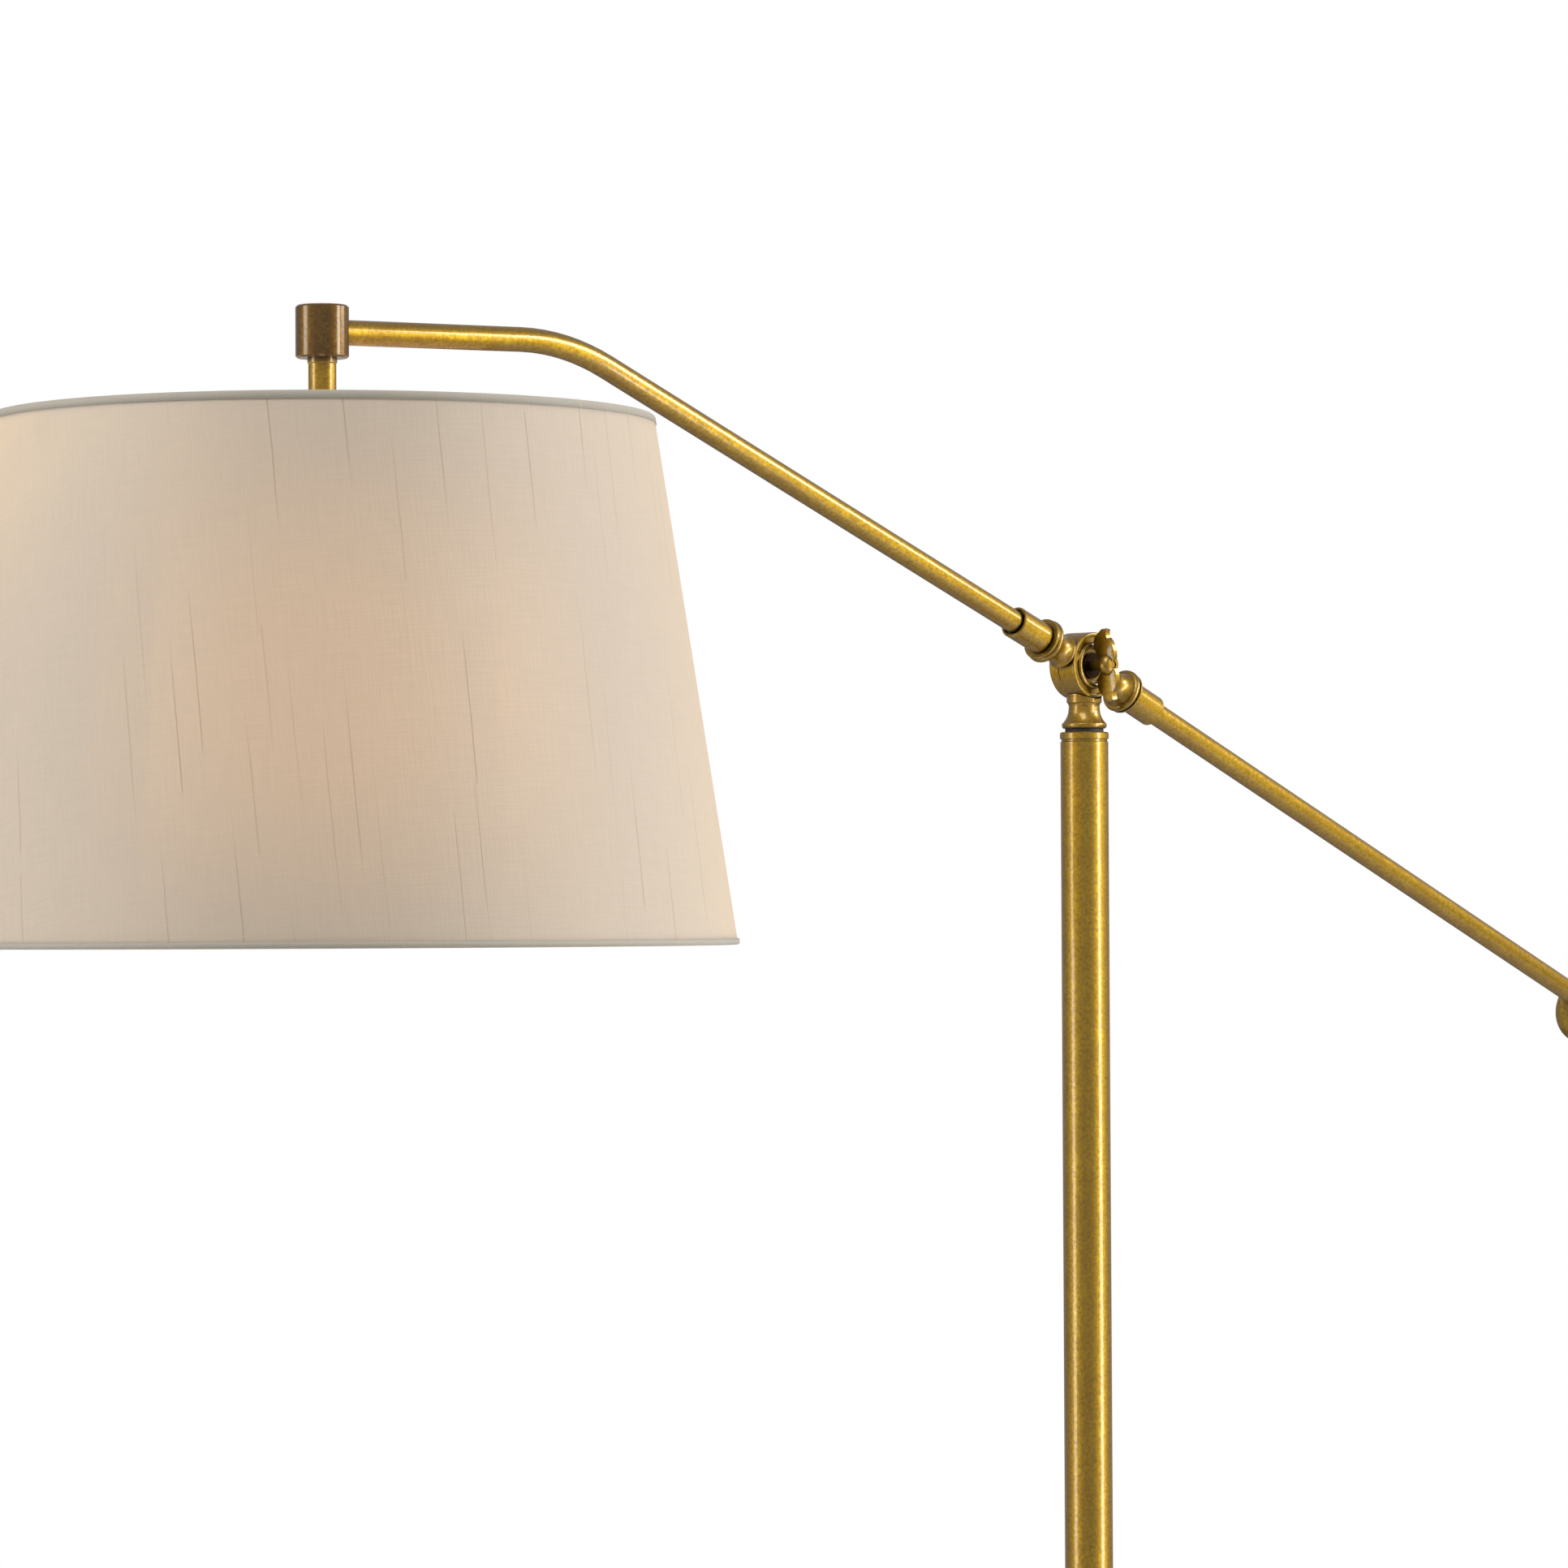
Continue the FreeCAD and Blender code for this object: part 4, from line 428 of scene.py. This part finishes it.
def slubbed_silk(name, cloth_hex, through, drifting):
    """Plain-woven silk with slubs. through is the share of light that passes the cloth."""
    material = bpy.data.materials.new(name)
    material.use_nodes = True
    tree = material.node_tree
    tree.nodes.clear()
    flat = add_node(tree, "ShaderNodeUVMap", {"uv_map": "flat_cloth"}).outputs[0]
    grain = add_node(tree, "ShaderNodeMapping", Vector=flat, Rotation=(0, 0, math.radians(GRAIN_LEAN)))
    grain = grain.outputs[0]
    warp = add_node(tree, "ShaderNodeMapping", Vector=grain, Scale=(1 / THREAD_M, 1 / STREAK_M, 1))
    weft = add_node(tree, "ShaderNodeMapping", Vector=grain, Scale=(1 / STREAK_M, 1 / THREAD_M, 1))
    warp, weft = (add_node(tree, "ShaderNodeTexNoise", {"noise_dimensions": "2D"}, Vector=yarn.outputs[0],
                           Scale=1.0, Detail=1.0) for yarn in (warp, weft))
    weave = add_node(tree, "ShaderNodeMath", {"operation": "ADD"}, _0=warp.outputs[0], _1=weft.outputs[0])

    # Each cell of the pattern may hold one slub, which thins out towards both ends.
    cells = add_node(tree, "ShaderNodeMapping", Vector=grain, Scale=(1 / SLUB_GAP_M, 1 / SLUB_LENGTH_M, 1))
    if drifting:
        drift = add_node(tree, "ShaderNodeTexNoise", {"noise_dimensions": "2D"}, Vector=cells.outputs[0],
                         Scale=1.3)
        cells = add_node(tree, "ShaderNodeMixRGB", {"blend_type": "ADD"}, Fac=SLUB_DRIFT,
                         Color1=cells.outputs[0], Color2=drift.outputs[0])
    found = add_node(tree, "ShaderNodeTexVoronoi", {"voronoi_dimensions": "2D"}, Vector=cells.outputs[0],
                     Scale=1.0)
    gap = add_node(tree, "ShaderNodeVectorMath", {"operation": "SUBTRACT"}, _0=cells.outputs[0],
                   _1=found.outputs["Position"])
    gap = add_node(tree, "ShaderNodeSeparateXYZ", Vector=gap.outputs[0])
    beside = add_node(tree, "ShaderNodeMath", {"operation": "ABSOLUTE"}, _0=gap.outputs[0])
    beyond = add_node(tree, "ShaderNodeMath", {"operation": "ABSOLUTE"}, _0=gap.outputs[1])
    line = add_node(tree, "ShaderNodeMapRange", {"interpolation_type": "SMOOTHSTEP"}, _0=beside.outputs[0],
                    _1=0.0, _2=SLUB_WIDTH, _3=1.0, _4=0.0)
    fade = add_node(tree, "ShaderNodeMapRange", {"interpolation_type": "SMOOTHSTEP"}, _0=beyond.outputs[0],
                    _1=SLUB_FULL, _2=SLUB_END, _3=1.0, _4=0.0)
    chance = add_node(tree, "ShaderNodeSeparateXYZ", Vector=found.outputs["Color"])
    chance = add_node(tree, "ShaderNodeMapRange", _0=chance.outputs[0], _1=SLUB_CHANCE, _2=1.0)
    for share in (fade, chance):
        line = add_node(tree, "ShaderNodeMath", {"operation": "MULTIPLY"}, _0=line.outputs[0],
                        _1=share.outputs[0])

    shade = add_node(tree, "ShaderNodeMapRange", _0=weave.outputs[0], _1=0.7, _2=1.3, _3=WEAVE_DARK,
                     _4=WEAVE_LIGHT)
    woven = add_node(tree, "ShaderNodeMixRGB", {"blend_type": "MULTIPLY"}, Fac=1.0, Color1=colour(cloth_hex),
                     Color2=shade.outputs[0])
    dyed = add_node(tree, "ShaderNodeMixRGB", Fac=line.outputs[0], Color1=woven.outputs[0],
                    Color2=colour(SLUB_HEX))
    height = add_node(tree, "ShaderNodeMath", {"operation": "MULTIPLY_ADD"}, _0=line.outputs[0], _1=2.0,
                      _2=weave.outputs[0])
    bump = add_node(tree, "ShaderNodeBump", Strength=CLOTH_BUMP, Distance=CLOTH_BUMP_M,
                    Height=height.outputs[0])
    face = add_node(tree, "ShaderNodeBsdfPrincipled", Base_Color=dyed.outputs[0], Roughness=CLOTH_ROUGH,
                    Specular_IOR_Level=CLOTH_GLOSS, Sheen_Weight=CLOTH_SHEEN,
                    Sheen_Roughness=CLOTH_SHEEN_ROUGH, Normal=bump.outputs[0])

    # The lamp's light passes the cloth, partly scattered all round and partly straight ahead.
    tinted = add_node(tree, "ShaderNodeMixRGB", {"blend_type": "MULTIPLY"}, Fac=1.0, Color1=dyed.outputs[0],
                      Color2=colour(GLOW_HEX))
    spread = add_node(tree, "ShaderNodeBsdfTranslucent", Color=tinted.outputs[0])
    ahead = add_node(tree, "ShaderNodeBsdfRefraction", Color=tinted.outputs[0], Roughness=1.0, IOR=AHEAD_IOR)
    lit = add_node(tree, "ShaderNodeMixShader", _0=AHEAD_SHARE, _1=spread.outputs[0], _2=ahead.outputs[0])
    both = add_node(tree, "ShaderNodeMixShader", _0=through, _1=face.outputs[0], _2=lit.outputs[0])
    add_node(tree, "ShaderNodeOutputMaterial", Surface=both.outputs[0])
    return material


# The cloth's seam is turned away from the photographed side.
CLOTH_FRONT = math.atan2(CAMERA_AT[1] - shade_axis[1], CAMERA_AT[0] - shade_axis[0])
cloth_low, cloth_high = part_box("shade_fabric")
rows = [cloth_low.z + (cloth_high.z - cloth_low.z) * step / CLOTH_ROWS for step in range(CLOTH_ROWS + 1)]
cloth = lathe("silk_wall", [(wall_radius(z, EDGE_M), z) for z in rows], shade_axis, CLOTH_SIDES)
unroll(cloth, CLOTH_FRONT)
bpy.ops.object.shade_smooth()
cloth.data.materials.append(slubbed_silk("silk_slubbed_woven", CLOTH_HEX, WALL_THROUGH, True))
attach(cloth, "arm")
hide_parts("shade_fabric")

# The turned-over edges are the same cloth on the bias, soft at their fold. Their colour is the cloth's,
# painted darker and greyer as shade.
FOLD_STEPS = 6
FOLD_DEPTH_M = 0.0046
FOLD_SOFT_M = 0.0011
FOLD_CLOTH_M = 0.00045
binding = slubbed_silk("silk_turned_edge_painted_shade", BINDING_PAINTED_SHADE_HEX, FOLD_THROUGH, False)


def turned_edge(name, node, fold, free):
    """Cloth that goes up the outside of the wall, over its wire and down the inside."""
    up = 1 if fold > free else -1
    turn_z = fold - up * FOLD_SOFT_M
    bend = []
    for step in range(1, FOLD_STEPS + 1):
        angle = math.pi / 2 * step / FOLD_STEPS
        bend.append((FOLD_SOFT_M * (1 - math.cos(angle)), fold - up * FOLD_SOFT_M * (1 - math.sin(angle))))
    back = [(FOLD_DEPTH_M - inset, z) for inset, z in reversed(bend[:-1])]
    back += [(FOLD_DEPTH_M, turn_z), (FOLD_DEPTH_M, free)]
    steps = [(0.0, free), (0.0, turn_z)] + bend + back
    piece = lathe(name, [(wall_radius(z, inset), z) for inset, z in steps], shade_axis, CLOTH_SIDES)
    unroll(piece, CLOTH_FRONT)
    bpy.ops.object.shade_smooth()
    thick = piece.modifiers.new("thick", "SOLIDIFY")
    thick.thickness = FOLD_CLOTH_M
    thick.offset = -1 if up > 0 else 1
    bpy.ops.object.modifier_apply(modifier="thick")
    piece.data.materials.append(binding)
    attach(piece, "arm")
    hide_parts(node)
    return piece


top_binding = turned_edge("silk_top_edge", "shade_top_trim", top_z, high_edge[0].z)
bottom_binding = turned_edge("silk_bottom_edge", "shade_bottom_trim", bottom_z, low_edge[1].z)

# The styrene lining lets the lamp's light through to the cloth.
lining = plain_finish("styrene_rolled", LINING_HEX, 1.5, 0.0, (0.55, 0.65), 0.02, 0.01)
finish_node(lining, "shade_liner")
nodes["shade_liner"].visible_shadow = False
